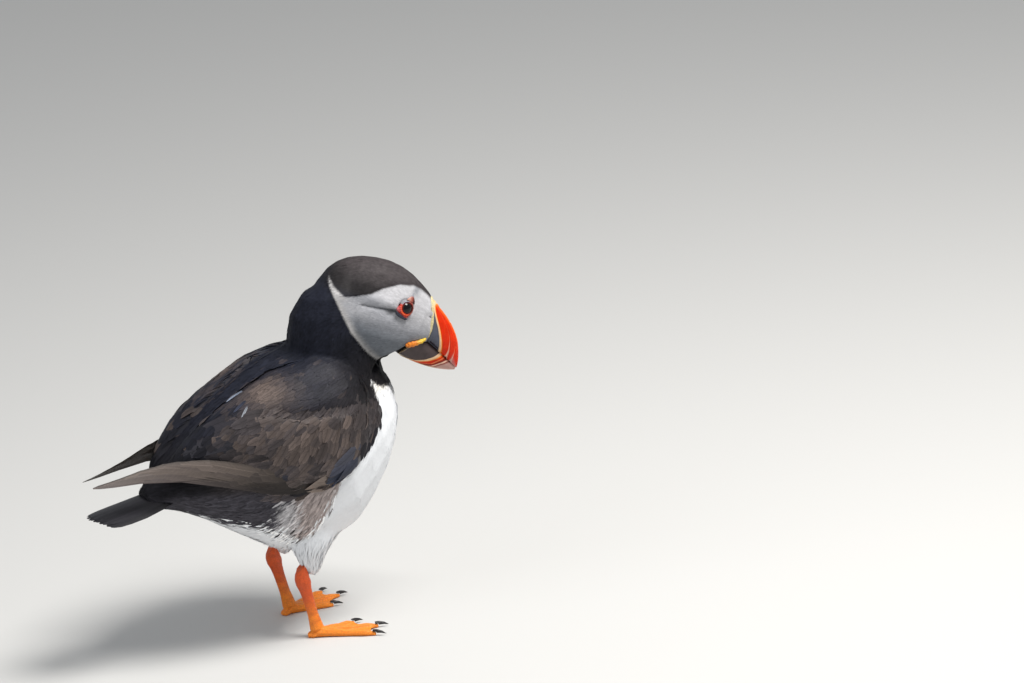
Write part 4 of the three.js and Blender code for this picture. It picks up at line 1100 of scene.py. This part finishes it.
CULMEN_ARC = bow((28.4, 17.2), (54.4, -14.4), 4.8)
CULMEN_SET = [(0, -1.6), (0.08, -1.7), (0.18, -1.75), (0.32, -1.05), (0.43, -0.5), (0.55, 0.04), (0.68, 0.4),
              (0.8, 0.36), (0.93, 0.28), (1, 0)]


def culmen(share):
    """The upper outline: nearly straight at its base, then bent down to the tip."""
    off = np.interp(share, *np.array(CULMEN_SET).T)
    return CULMEN_ARC(share) + off[..., None] * np.array([0.773, 0.635])


UPPER_EDGE = bow((31.2, -6.2), (54.2, -15.1), 0.5)
LOWER_EDGE = bow((31.2, -5.4), (53.7, -14.6), 0.5)
GONYS = bow((23.6, -19.2), (53.9, -16.4), -2.3)
UPPER_WIDTH = [(0, 5.6), (0.14, 5.5), (0.3, 5.2), (0.4, 5), (0.52, 4.45), (0.61, 4.2), (0.72, 3.6), (0.81, 3.15),
               (0.93, 2.1), (0.98, 1.3), (1, 0.5)]
LOWER_WIDTH = [(-0.14, 8.6), (0, 7.3), (0.15, 5.7), (0.3, 4.75), (0.5, 4.1), (0.75, 3), (0.93, 1.8),
               (0.98, 1), (1, 0.4)]
# Borders across the upper mandible: height from the cutting edge (-1) to the culmen (1), share of the way.
CERE_EDGE = [(-0.95, 0.06), (-0.56, 0.105), (-0.19, 0.118), (0.19, 0.104), (0.54, 0.07), (0.87, 0.025), (1, 0.0)]
UPPER_RIDGE = [(-1, 0.476), (-0.59, 0.433), (-0.21, 0.364), (0.15, 0.27), (0.45, 0.176), (0.7, 0.1), (0.86, 0.075),
               (0.95, 0.08), (1, 0.1)]
GROOVE_ONE = [(-1.08, 0.669), (-0.22, 0.62), (0.31, 0.537), (0.59, 0.443), (0.74, 0.333), (0.8, 0.28), (1, 0.1)]
GROOVE_TWO = [(-0.67, 0.797), (0.27, 0.739), (0.68, 0.674), (0.82, 0.53), (1, 0.4)]
# The same for the lower, from its cutting edge (-1) to its keel (1).
LOWER_RIDGE = [(-1.08, 0.558), (-0.33, 0.495), (0.27, 0.409), (0.73, 0.276), (0.93, 0.085), (1.1, -0.1)]
LOWER_BAND = [(-0.71, 0.647), (0.45, 0.54), (0.91, 0.327), (1, 0.25)]
LOWER_TIP = [(-1.13, 0.776), (-0.19, 0.686), (0.74, 0.576), (1, 0.5)]


def border(line, height):
    return np.interp(height, *np.array(line).T)


def face_outward(piece):
    """Turns a closed surface's faces outward and shades it smooth."""
    hold(piece)
    bpy.ops.object.mode_set(mode="EDIT")
    bpy.ops.mesh.select_all(action="SELECT")
    bpy.ops.mesh.normals_make_consistent(inside=False)
    bpy.ops.object.mode_set(mode="OBJECT")
    bpy.ops.object.shade_smooth()


def closed_tube(title, rings):
    """A closed smooth body through rings of places on the head, with a flat cap at each end."""
    steps, turns = rings.shape[:2]
    faces = [
        (i * turns + j, (i + 1) * turns + j, (i + 1) * turns + (j + 1) % turns, i * turns + (j + 1) % turns)
        for i in range(steps - 1) for j in range(turns)
    ]
    faces += [tuple(range(turns)), tuple((steps - 1) * turns + j for j in reversed(range(turns)))]
    mesh = bpy.data.meshes.new(title)
    mesh.from_pydata(off_head(rings.reshape(-1, 3)).tolist(), [], faces)
    piece = new_piece(title, mesh)
    face_outward(piece)
    return piece


BOXY = 2.4  # how far a mandible's cut is from an ellipse, at 2, towards a box


def horn(title, outer, inner, width, first, steps, turns):
    """A mandible's closed surface, with each point's share of the length, height and distance scale."""
    share = first + (1 - first) * (1 - (1 - np.linspace(0, 1, steps)) ** 1.35)
    angle = np.linspace(0, 2 * math.pi, turns, endpoint=False)
    aside, height = (np.sign(way) * np.abs(way) ** (2 / BOXY) for way in (np.cos(angle), np.sin(angle)))
    top, low = outer(share), inner(share)
    middle, rise = (top + low) / 2, (top - low) / 2
    half = np.interp(share, *np.array(width).T)
    plane = middle[:, None] + rise[:, None] * height[None, :, None]
    lateral = half[:, None] * aside[None] * (1 - 0.25 * height[None])
    places = np.stack([plane[..., 0], lateral, plane[..., 1]], -1)
    piece = closed_tube(title, places)
    share = np.repeat(share, turns)
    height = np.tile(height, steps)
    reach = np.repeat(np.linalg.norm(np.diff(plane, axis=0), axis=-1).sum(0)[None], steps, 0).ravel() / (1 - first)
    return piece, share, height, reach


def swell(off, wide, high):
    return high * lobe(off, 0, wide)


def mark(mesh, title, a, b, c):
    layer = mesh.attributes.new(title, "FLOAT_VECTOR", "POINT")
    layer.data.foreach_set("vector", np.stack([a, b, c], -1).astype(np.float32).ravel())


upper, share, height, reach = horn("upper_mandible_horn", culmen, UPPER_EDGE, UPPER_WIDTH, -0.06, 150, 96)
off_ridge = (share - border(UPPER_RIDGE, height)) * reach
off_one = (share - border(GROOVE_ONE, height)) * reach
off_two = (share - border(GROOVE_TWO, height)) * reach
off_cere = (share - border(CERE_EDGE, height)) * reach
bulge = swell(off_ridge, 0.75, 0.34) - swell(off_one, 0.5, 0.3) - swell(off_two, 0.45, 0.24)
bulge += swell(off_one - 1.5, 0.9, 0.14) + swell(off_ridge - 2.4, 1.1, 0.12) + swell(off_two - 1.4, 0.8, 0.1)
bulge += 0.035 * np.sin(off_ridge * 5.2) * (off_ridge < -0.6) + 0.03 * np.sin(off_one * 4.1 + height * 2)
nostril = np.hypot(np.maximum(np.abs(share - 0.3) - 0.1, 0) * reach, (height + 0.84) * 6)
bulge -= swell(nostril, 0.5, 0.5) + 1.3 * (1 - ease(share, -0.05, 0.03)) + 1.9 * ease(-off_cere, 0.6, 1.6)
points, normals = points_of(upper.data), normals_of(upper.data)
set_points(upper.data, points + normals * bulge[:, None] * MM)
mark(upper.data, "bands", off_ridge, off_one, off_two)
mark(upper.data, "growth", off_cere, height, nostril)

lower, share, height, reach = horn("lower_mandible_horn", GONYS, LOWER_EDGE, LOWER_WIDTH, -0.06, 130, 80)
off_ridge = (share - border(LOWER_RIDGE, height)) * reach
off_one = (share - border(LOWER_BAND, height)) * reach
off_two = (share - border(LOWER_TIP, height)) * reach
bulge = swell(off_ridge, 0.7, 0.26) - swell(off_one, 0.4, 0.2) - swell(off_two, 0.4, 0.16)
bulge += 0.03 * np.sin(off_ridge * 5) * (off_ridge < -0.6)
points, normals = points_of(lower.data), normals_of(lower.data)
set_points(lower.data, points + normals * bulge[:, None] * MM)
mark(lower.data, "bands", off_ridge, off_one, off_two)
mark(lower.data, "growth", (share + 0.035) * reach, height, share * 0 + 9)


def between(material, value, low, high, soft):
    """A mask that is 1 while a value lies from low to high, with soft edges."""
    rise = remap(material, value, low - soft, low + soft, 0.0, 1.0)
    return figure(material, "MULTIPLY", rise, remap(material, value, high - soft, high + soft, 1.0, 0.0))


def paint_over(material, under, share, colour):
    """Lays a colour over another where the mask allows."""
    layers = {
        at: value if isinstance(value, bpy.types.NodeSocket) else (*value, 1)
        for at, value in ((6, under), (7, colour))
    }
    return add_node(material, "ShaderNodeMix", {0: share} | layers, data_type="RGBA").outputs[2]


# Both mandibles' horn: streaks along the growth lines, faint clouds, and a fine relief of both.
horn_grain, takes, gives = shared_effect(
    "horn grain", {"Growth": "Vector"}, {"Streaks": "Float", "Shade": "Float", "Normal": "Vector"})
growth = add_node(horn_grain, "ShaderNodeMapping", {"Vector": takes["Growth"], "Scale": (2.2, 0.6, 0.0)})
streaks = noise(horn_grain, growth.outputs["Vector"], 1.6, 4.0)
clouds = noise(horn_grain, add_node(horn_grain, "ShaderNodeTexCoord").outputs["Object"], 260.0, 4.0)
join(horn_grain, streaks, gives["Streaks"])
join(horn_grain, remap(horn_grain, clouds, 0.3, 0.7, 0.86, 1.08), gives["Shade"])
join(horn_grain, relief(horn_grain, clouds, 0.2, 0.0002, relief(horn_grain, streaks, 0.35, 0.0003)), gives["Normal"])


def horn_material(title, plate, tip, upper_half):
    """Horn in bands: a slate plate, a cream ridge, red horn with pale grooves, and the tip."""
    made, shader = plain_material(title, 0.36, 0.16)
    growth = add_node(made, "ShaderNodeAttribute", attribute_name="growth").outputs["Vector"]
    bands = add_node(made, "ShaderNodeAttribute", attribute_name="bands").outputs["Vector"]
    off_cere, height, off_nostril = add_node(made, "ShaderNodeSeparateXYZ", {"Vector": growth}).outputs
    off_ridge, off_one, off_two = add_node(made, "ShaderNodeSeparateXYZ", {"Vector": bands}).outputs
    grain = add_node(made, "ShaderNodeGroup", {"Growth": growth}, node_tree=horn_grain).outputs
    # The orange along the top edge of the horn is a painted highlight on the culmen; on the lower mandible the keel's
    # cream is laid over it.
    red = paint_over(made, tone(200, 38, 4), between(made, height, 0.93, 1.4, 0.05), tone(222, 92, 20))
    red = paint_over(made, red, between(made, off_ridge, -1.0, 1.5, 0.35), tone(232, 132, 40))
    red = paint_over(made, red, remap(made, grain["Streaks"], 0.5, 0.75, 0.0, 0.4), tone(226, 78, 16))
    own = paint_over(made, plate, between(made, off_ridge, 0.0, 90.0, 0.06), red)
    if upper_half:
        # The grooves widen and pale from the culmen down to the cutting edge.
        open_out = remap(made, height, -0.9, 0.7, 0.42, 1.5)
        pale = paint_over(made, tone(206, 84, 48), remap(made, height, -0.5, 0.5, 1.0, 0.0), tone(226, 172, 150))
        for groove in (off_one, off_two):
            scaled = figure(made, "MULTIPLY", groove, open_out)
            own = paint_over(made, own, between(made, scaled, -0.4, 0.4, 0.16), pale)
        low_end = remap(made, height, -0.9, 0.1, 0.75, 0.0)
        at_tip = figure(made, "MULTIPLY", between(made, off_two, -0.9, 60.0, 0.8), low_end)
        own = paint_over(made, own, at_tip, tip)
        base = between(made, off_ridge, -60.0, -0.3, 0.4)
        on_top = figure(made, "MULTIPLY", base, between(made, height, 0.76, 1.4, 0.1))
        own = paint_over(made, own, on_top, tone(214, 182, 122))
        # Painted shade in the nostril slit.
        own = paint_over(made, own, between(made, off_nostril, -1.0, 0.36, 0.16), tone(48, 40, 48))
    else:
        for value, low, high, soft, colour in (
            (off_one, -0.4, 0.4, 0.15, tone(214, 118, 70)), (off_two, -0.4, 0.4, 0.15, tone(214, 118, 70)),
            (off_one, 0.5, 60.0, 0.4, tone(128, 40, 26)), (off_two, -0.3, 0.7, 0.2, tone(226, 184, 160)),
            # The dark along the lower's cutting edge, where the mandibles meet, is painted shade.
            (off_two, 1.6, 60.0, 0.6, tip), (height, -1.4, -0.9, 0.06, tone(58, 40, 38)),
            (height, 0.9, 1.4, 0.05, tone(214, 186, 140)),
        ):
            own = paint_over(made, own, between(made, value, low, high, soft), colour)
    own = paint_over(made, own, between(made, off_ridge, -0.8, 0.8, 0.2), tone(220, 184, 144))
    root = tone(216, 204, 166) if upper_half else tone(160, 138, 108)
    own = paint_over(made, own, between(made, off_cere, -60.0, -0.3, 0.2), root)
    join(made, dimmed(made, own, grain["Shade"]), shader.inputs["Base Color"])
    join(made, grain["Normal"], shader.inputs["Normal"])
    return made


upper.data.materials.append(horn_material("upper horn", tone(84, 87, 98), tone(196, 150, 146), True))
lower.data.materials.append(horn_material("lower horn", tone(76, 66, 66), tone(190, 150, 140), False))
for piece, name in ((upper, "upper_mandible"), (lower, "lower_mandible")):
    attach(piece, "root")
    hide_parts(name)


# Cere: a fleshy, finely ridged roll of pale yellow skin round the base of the upper mandible, from the
# corner of the mouth over the culmen and down the other side.
def bill_place(share, height, side):
    """A place on the upper mandible, a little proud of it."""
    top, low = culmen(share), UPPER_EDGE(share)
    plane = (top + low) / 2 + (top - low) / 2 * height[:, None]
    bend = np.abs(height) ** 1.2
    aside = np.interp(share, *np.array(UPPER_WIDTH).T) * (1 - np.minimum(bend * bend, 1)) ** (1 / BOXY)
    return np.stack([plane[:, 0], aside * (1 - 0.25 * height) * side, plane[:, 1]], -1)


turn = np.linspace(-1, 1, 161)
side_of = np.where(turn < 0, -1.0, 1.0)
height = -1.0 + 2.0 * np.sin((1 - np.abs(turn)) * math.pi / 2)
cere_share = border(CERE_EDGE, height) + 0.005
spine = bill_place(cere_share, height, side_of)
for _ in range(3):
    spine[1:-1] = (spine[:-2] + spine[1:-1] * 2 + spine[2:]) / 4
heart = (culmen(cere_share) + UPPER_EDGE(cere_share)) / 2
axis_line = np.stack([heart[:, 0], 0 * turn, heart[:, 1]], -1)
along = unit(np.gradient(spine, axis=0))
out = spine - axis_line
out = unit(out - along * (out * along).sum(-1, keepdims=True))
wide_way = np.cross(along, out)
around = np.linspace(0, 2 * math.pi, 20, endpoint=False)
plump = (1 + 0.06 * np.sin(turn * 120) + 0.05 * np.sin(turn * 47))[:, None]
thin = ease(1 - np.abs(turn), 0, 0.05)[:, None] * 0.7 + 0.3
wide = 0.9 * plump * thin
deep = 0.86 * plump * thin * (1 - 0.5 * ease(height, 0.7, 1))[:, None]
ring = (
    spine[:, None]
    + wide_way[:, None] * (wide * np.cos(around)[None])[..., None]
    + out[:, None] * (deep * (np.sin(around)[None] * (1 - 0.25 * np.cos(around * 2)[None] ** 2)))[..., None]
)
cere = closed_tube("cere_skin", ring)
steps, turns = len(turn), len(around)
ochre = (tone(214, 150, 60), 0.85 * (1 - ease(height, -1, -0.55)))
stain(cere.data, "plumage", np.repeat(coloured(steps, tone(206, 192, 146), ochre), turns, 0))


# Bare skin: its own stain between fine dark wrinkles, with a soft sheen.
wrinkles, takes, gives = shared_effect(
    "skin wrinkles", {"Stain": "Color", "Grain": "Float", "Depth": "Float"}, STAIN_TO_FINISH)
cells = add_node(wrinkles, "ShaderNodeTexVoronoi", {
    "Vector": add_node(wrinkles, "ShaderNodeTexCoord").outputs["Object"], "Scale": takes["Grain"]},
    feature="DISTANCE_TO_EDGE")
dark = remap(wrinkles, cells.outputs["Distance"], 0.0, 0.12, 0.72, 1.0)
join(wrinkles, dimmed(wrinkles, takes["Stain"], dark), gives["Colour"])
join(wrinkles, relief(wrinkles, dark, 0.5, takes["Depth"]), gives["Normal"])


def flesh_material(title, roughness, grain, depth):
    made, shader = stained_material(title, roughness, 0.4, wrinkles, Grain=grain, Depth=depth)
    shader.inputs["Subsurface Weight"].default_value = 0.08
    shader.inputs["Subsurface Scale"].default_value = 0.001
    return made


cere.data.materials.append(flesh_material("cere", 0.45, 1500.0, 0.00025))
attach(cere, "root")
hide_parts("cere")

# Gape rosettes: a soft folded roll of yellow-orange skin over the hinge of the jaws at each side, from the
# cheek forward to the cere.
gape = flesh_material("gape skin", 0.42, 900.0, 0.0004)
ROLL = [(23.4, -10.6, 12.0), (25, -9.6, 11.6), (27, -8.5, 10.9), (29.4, -7.0, 9.6), (31.4, -5.4, 8.1),
        (32.6, -4.0, 7.0)]
for side, word in ((1, "left"), (-1, "right")):
    share = np.linspace(0, 1, 60)
    line = np.array(ROLL)
    spine = np.stack([np.interp(share * (len(line) - 1), range(len(line)), line[:, i]) for i in (0, 2, 1)], -1)
    for _ in range(12):
        spine[1:-1] = (spine[:-2] + 2 * spine[1:-1] + spine[2:]) / 4
    spine[:, 1] *= side
    along = unit(np.gradient(spine, axis=0))
    off_cheek = np.array([0.45, side, -0.1])
    outward = unit(off_cheek - along * (along @ off_cheek)[:, None])
    beside = np.cross(along, outward)
    around = np.linspace(0, 2 * math.pi, 40, endpoint=False)
    taper = np.sqrt(np.clip(1 - (2 * share - 1) ** 4, 0.02, 1))
    folds = 1 + 0.1 * np.sin(share * 38)[:, None] + 0.07 * np.sin(share * 23 + 1)[:, None] * np.cos(around * 3)[None]
    folds = folds + 0.05 * np.sin(around * 7 + 9 * share[:, None])
    wide = (1.05 + 0.45 * (1 - ease(share, 0.3, 0.75)))[:, None] * taper[:, None] * folds
    deep = 1.2 * taper[:, None] * folds
    roll = (
        spine[:, None] + beside[:, None] * (wide * np.cos(around)[None])[..., None]
        + outward[:, None] * (deep * np.sin(around)[None])[..., None])
    rosette = closed_tube(f"{word}_rosette_skin", roll)
    run = np.repeat(share, len(around))
    stain(rosette.data, "plumage", coloured(
        len(run), tone(216, 122, 24),
        (tone(222, 184, 56), ease(run, 0.45, 0.75)),
        (tone(196, 110, 24), 0.7 * (1 - ease(run, 0.0, 0.16)))))
    rosette.data.materials.append(gape)
    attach(rosette, "root")
    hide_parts(f"{word}_gape_rosette")

# Eyes: a wet dark globe in each socket, a red fleshy lid ring drawn out to three corners, and two horny
# plates set in the skin, an upright wedge over the eye and a low bar under it.
GLOBE, HEAD_BEND = 3.9, 17.0  # the radius of the eye, and of the head round it, in millimetres
horn_plate = flesh_material("eye plates", 0.5, 1100.0, 0.0002)
lid_skin = flesh_material("lid skin", 0.38, 1300.0, 0.0003)
globe_look, shader = plain_material("eye", 0.07, 0.3)
own = add_node(globe_look, "ShaderNodeAttribute", attribute_name="plumage")
join(globe_look, own.outputs["Color"], shader.inputs["Base Color"])

for side, word in ((1, "left"), (-1, "right")):
    middle, axis, fore, rise = eye_frame(side)
    bpy.ops.object.select_all(action="DESELECT")
    bpy.ops.mesh.primitive_uv_sphere_add(segments=48, ring_count=40, radius=GLOBE * MM)
    globe = bpy.context.object
    globe.name = f"{word}_eyeball"
    points = points_of(globe.data)
    lean = np.arccos(np.clip(points[:, 2] / (GLOBE * MM), -1, 1))
    set_points(globe.data, (
        middle + points[:, :1] * fore + points[:, 1:2] * rise + points[:, 2:] * axis))
    face_outward(globe)
    ring = np.sin(lean) * GLOBE
    stain(globe.data, "plumage", coloured(
        len(points), tone(6, 6, 8), (tone(74, 28, 16), ease(ring, 2.35, 2.6)), (tone(24, 10, 8), ease(ring, 3.1, 3.4))))
    globe.data.materials.append(globe_look)
    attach(globe, "root")
    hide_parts(f"{word}_eye")

    turns = np.linspace(0, 2 * math.pi, 144, endpoint=False)
    reach = np.interp(np.degrees(turns), *np.array(LID).T)
    reach = reach + 0.7 * lobe(np.degrees(turns), 130, 36)
    for _ in range(4):
        reach = (np.roll(reach, 1) + reach * 2 + np.roll(reach, -1)) / 4
    # The lid's cut runs from the wet edge on the globe, over a rounded rim, out to the feathers and back under.
    wrinkle = 0.1 * np.sin(turns * 23) + 0.07 * np.sin(turns * 41 + 1)
    section = []
    for out, top in ((2.9, 2.3), (2.94, 2.72), (3.05, 2.96), (3.2, 3.02)):
        section.append((np.full(len(turns), out), top + 0 * turns))
    for share, top in ((0.25, 2.95), (0.4, 3.02), (0.55, 2.8), (0.7, 2.86), (0.85, 2.6), (1.0, 2.1), (0.98, 1.4)):
        section.append((3.2 + (reach - 3.2) * share, top + wrinkle * (1 - abs(share - 0.5))))
    section.append((np.full(len(turns), 3.0), 1.2 + 0 * turns))
    count = len(section)
    ring_points = []
    for out, top in section:
        sunk = out**2 / (2 * HEAD_BEND)
        ring_points.append(
            middle + (fore[None] * np.cos(turns)[:, None] + rise[None] * np.sin(turns)[:, None]) * out[:, None] * MM
            + axis[None] * (top - sunk * 0.55 + 0.1)[:, None] * MM)
    ring_points = np.array(ring_points)
    # Over the eye its outer edge runs down into the skin.
    edge, edge_normal = on_hide(ring_points[-3])
    brow = ease(lobe(np.degrees(turns), 118, 56), 0.25, 0.7)
    ring_points[-3] = blend(ring_points[-3], edge + edge_normal * 0.25 * MM, brow)
    ring_points[-2] = blend(ring_points[-2], edge - edge_normal * 0.5 * MM, brow)
    many = len(turns)
    faces = [
        (i * many + j, i * many + (j + 1) % many, (i + 1) % count * many + (j + 1) % many, (i + 1) % count * many + j)
        for i in range(count) for j in range(many)
    ]
    mesh = bpy.data.meshes.new(f"{word}_lid")
    mesh.from_pydata(ring_points.reshape(-1, 3).tolist(), [], faces)
    lid = new_piece(f"{word}_lid", mesh)
    face_outward(lid)
    smooth = lid.modifiers.new("rounding", "SUBSURF")
    smooth.levels = 1
    bpy.ops.object.modifier_apply(modifier=smooth.name)
    arm = points_of(lid.data) - middle
    a, b = arm @ fore / MM, arm @ rise / MM
    out, face_turn = np.hypot(a, b), np.degrees(np.arctan2(b, a)) % 360
    edge = np.interp(face_turn, *np.array(LID).T) - out
    before, low_side = lobe((face_turn + 90) % 360 - 90, 6, 62), lobe(face_turn, 255, 75)
    stain(lid.data, "plumage", coloured(
        len(a), tone(188, 36, 18),
        (tone(92, 26, 20), np.clip(1.4 * before, 0, 0.95)),
        (tone(206, 138, 112), np.clip(1.5 * before, 0, 0.9) * (1 - ease(edge, 0.25, 0.5))),
        (tone(110, 20, 14), 0.9 * low_side * lobe(out, 4.2, 0.24)),
        # A painted highlight: the bright orange line along the rim of the lower lid.
        (tone(236, 98, 40), 0.95 * low_side * lobe(out, 3.7, 0.3)),
        (tone(52, 60, 84), 0.95 * lobe(face_turn, 125, 44) * (1 - ease(out, 3.3, 3.6))),
        (tone(138, 138, 143), ease(lobe(face_turn, 128, 44), 0.3, 0.6) * ease(out, 3.3, 3.5)),
        (tone(60, 12, 10), 1 - ease(out, 3.0, 3.2)),
        (tone(196, 118, 122), 0.9 * spot(face_turn, out, (204, 5.9), (20, 1.3)))))
    lid.data.materials.append(lid_skin)
    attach(lid, "root")
    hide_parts(f"{word}_eye_ring")

    for part in ("upper", "lower"):
        plate = merged_copy([f"{word}_{part}_eye_plate"], f"{word}_{part}_plate_horn")
        recast(plate, 0.22 * MM)
        relax(plate.data, 10)
        points = points_of(plate.data)
        heart = points.mean(0)
        arm = points - heart
        if part == "lower":
            arm -= (arm @ rise)[:, None] * rise * 0.3
            set_points(plate.data, heart + arm * 0.9 + (rise * 0.7 - axis * 0.2) * MM)
        else:
            high = arm @ rise / MM
            arm -= (arm @ fore * (0.1 + 0.5 * ease(high, -1, 2.4)))[:, None] * fore
            set_points(plate.data, heart + arm + (fore * 0.25 - rise * 1.35) * MM)
        bpy.ops.object.shade_smooth()
        arm = points_of(plate.data) - middle
        b = arm @ rise / MM
        a = arm @ fore / MM
        stain(plate.data, "plumage", coloured(
            len(b), tone(138, 66, 54), (tone(178, 130, 116), 1 - ease(a, -0.2, 1.2)),
            (tone(64, 24, 21), ease(a, 1.4, 2.1)), (tone(150, 150, 156), ease(b, 6.2, 7.4)),
        ) if part == "upper" else coloured(len(b), tone(38, 40, 54)))
        plate.data.materials.append(horn_plate)
        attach(plate, "root")
        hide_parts(f"{word}_{part}_eye_plate")

# Legs: bare orange shanks and webbed feet in one scaly skin, with plates down the front of the shank and
# along the toes, and a dark curved claw on each toe.
leg_skin = flesh_material("leg skin", 0.5, 950.0, 0.0005)
for side, word in ((1, "left"), (-1, "right")):
    leg = merged_copy([f"{word}_shank", f"{word}_foot"], f"{word}_leg_skin")
    recast(leg, 0.45 * MM)
    relax(leg.data, 8)
    bpy.ops.object.shade_smooth()
    # The shank runs on up into the thigh's feathers. Scutes cross its front, and finer ones each toe's top.
    points, normals = points_of(leg.data), normals_of(leg.data)
    height = points[:, 2] / MM
    top = height.max()
    heart = points[height > top - 4].mean(0)
    neck = ease(height, top - 2.2, top - 0.4)[:, None]
    shank = ease(height, 6, 9) * (1 - ease(height, top - 4, top - 2))
    scute = np.abs(((height + 0.25 * points[:, 1] / MM) / 2.1) % 1 - 0.5) * 2
    toe = (1 - ease(height, 5, 8)) * ease(normals[:, 2], 0.3, 0.7)
    plate = np.abs((np.hypot(*(points - points[height < 3].mean(0)).T[:2]) / MM / 1.5) % 1 - 0.5) * 2
    front = ease(normals[:, 0], 0.1, 0.5)
    raised = 0.13 * shank * front * ease(scute, 0, 0.35) + 0.08 * toe * ease(plate, 0, 0.35)
    points = points + normals * (raised - 0.1)[:, None] * MM
    points += ((heart - points) * (0.25, 0.25, 0) + (0, 0, 6 * MM)) * neck
    set_points(leg.data, points)
    groove = np.maximum(shank * front * (1 - ease(scute, 0, 0.3)), 0.6 * toe * (1 - ease(plate, 0, 0.3)))
    stain(leg.data, "plumage", coloured(
        len(points), tone(247, 140, 36),
        # Darker red up the shank: partly its own colour, partly painted shade under the body.
        (tone(212, 84, 28), ease(height, 8, 26)),
        (tone(186, 74, 30), 0.45 * ripple(points, 0.004, 21) * ease(height, 4, 10)),
        (tone(150, 62, 30), 0.6 * groove)))
    leg.data.materials.append(leg_skin)
    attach(leg, "root")
    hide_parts(f"{word}_shank", f"{word}_foot")

claw_horn, shader = plain_material("claw horn", 0.3, 0.5)
shader.inputs["Base Color"].default_value = (*tone(30, 26, 26), 1)
for side, word in ((1, "left"), (-1, "right")):
    names = [f"{word}_{toe}_claw" for toe in ("inner", "middle", "outer")]
    claws = merged_copy(names, f"{word}_claws_horn")
    recast(claws, 0.25 * MM)
    relax(claws.data, 6)
    bpy.ops.object.shade_smooth()
    claws.data.materials.append(claw_horn)
    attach(claws, "root")
    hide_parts(*names)

# The box round every piece shown, the floor left out.
low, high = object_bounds()
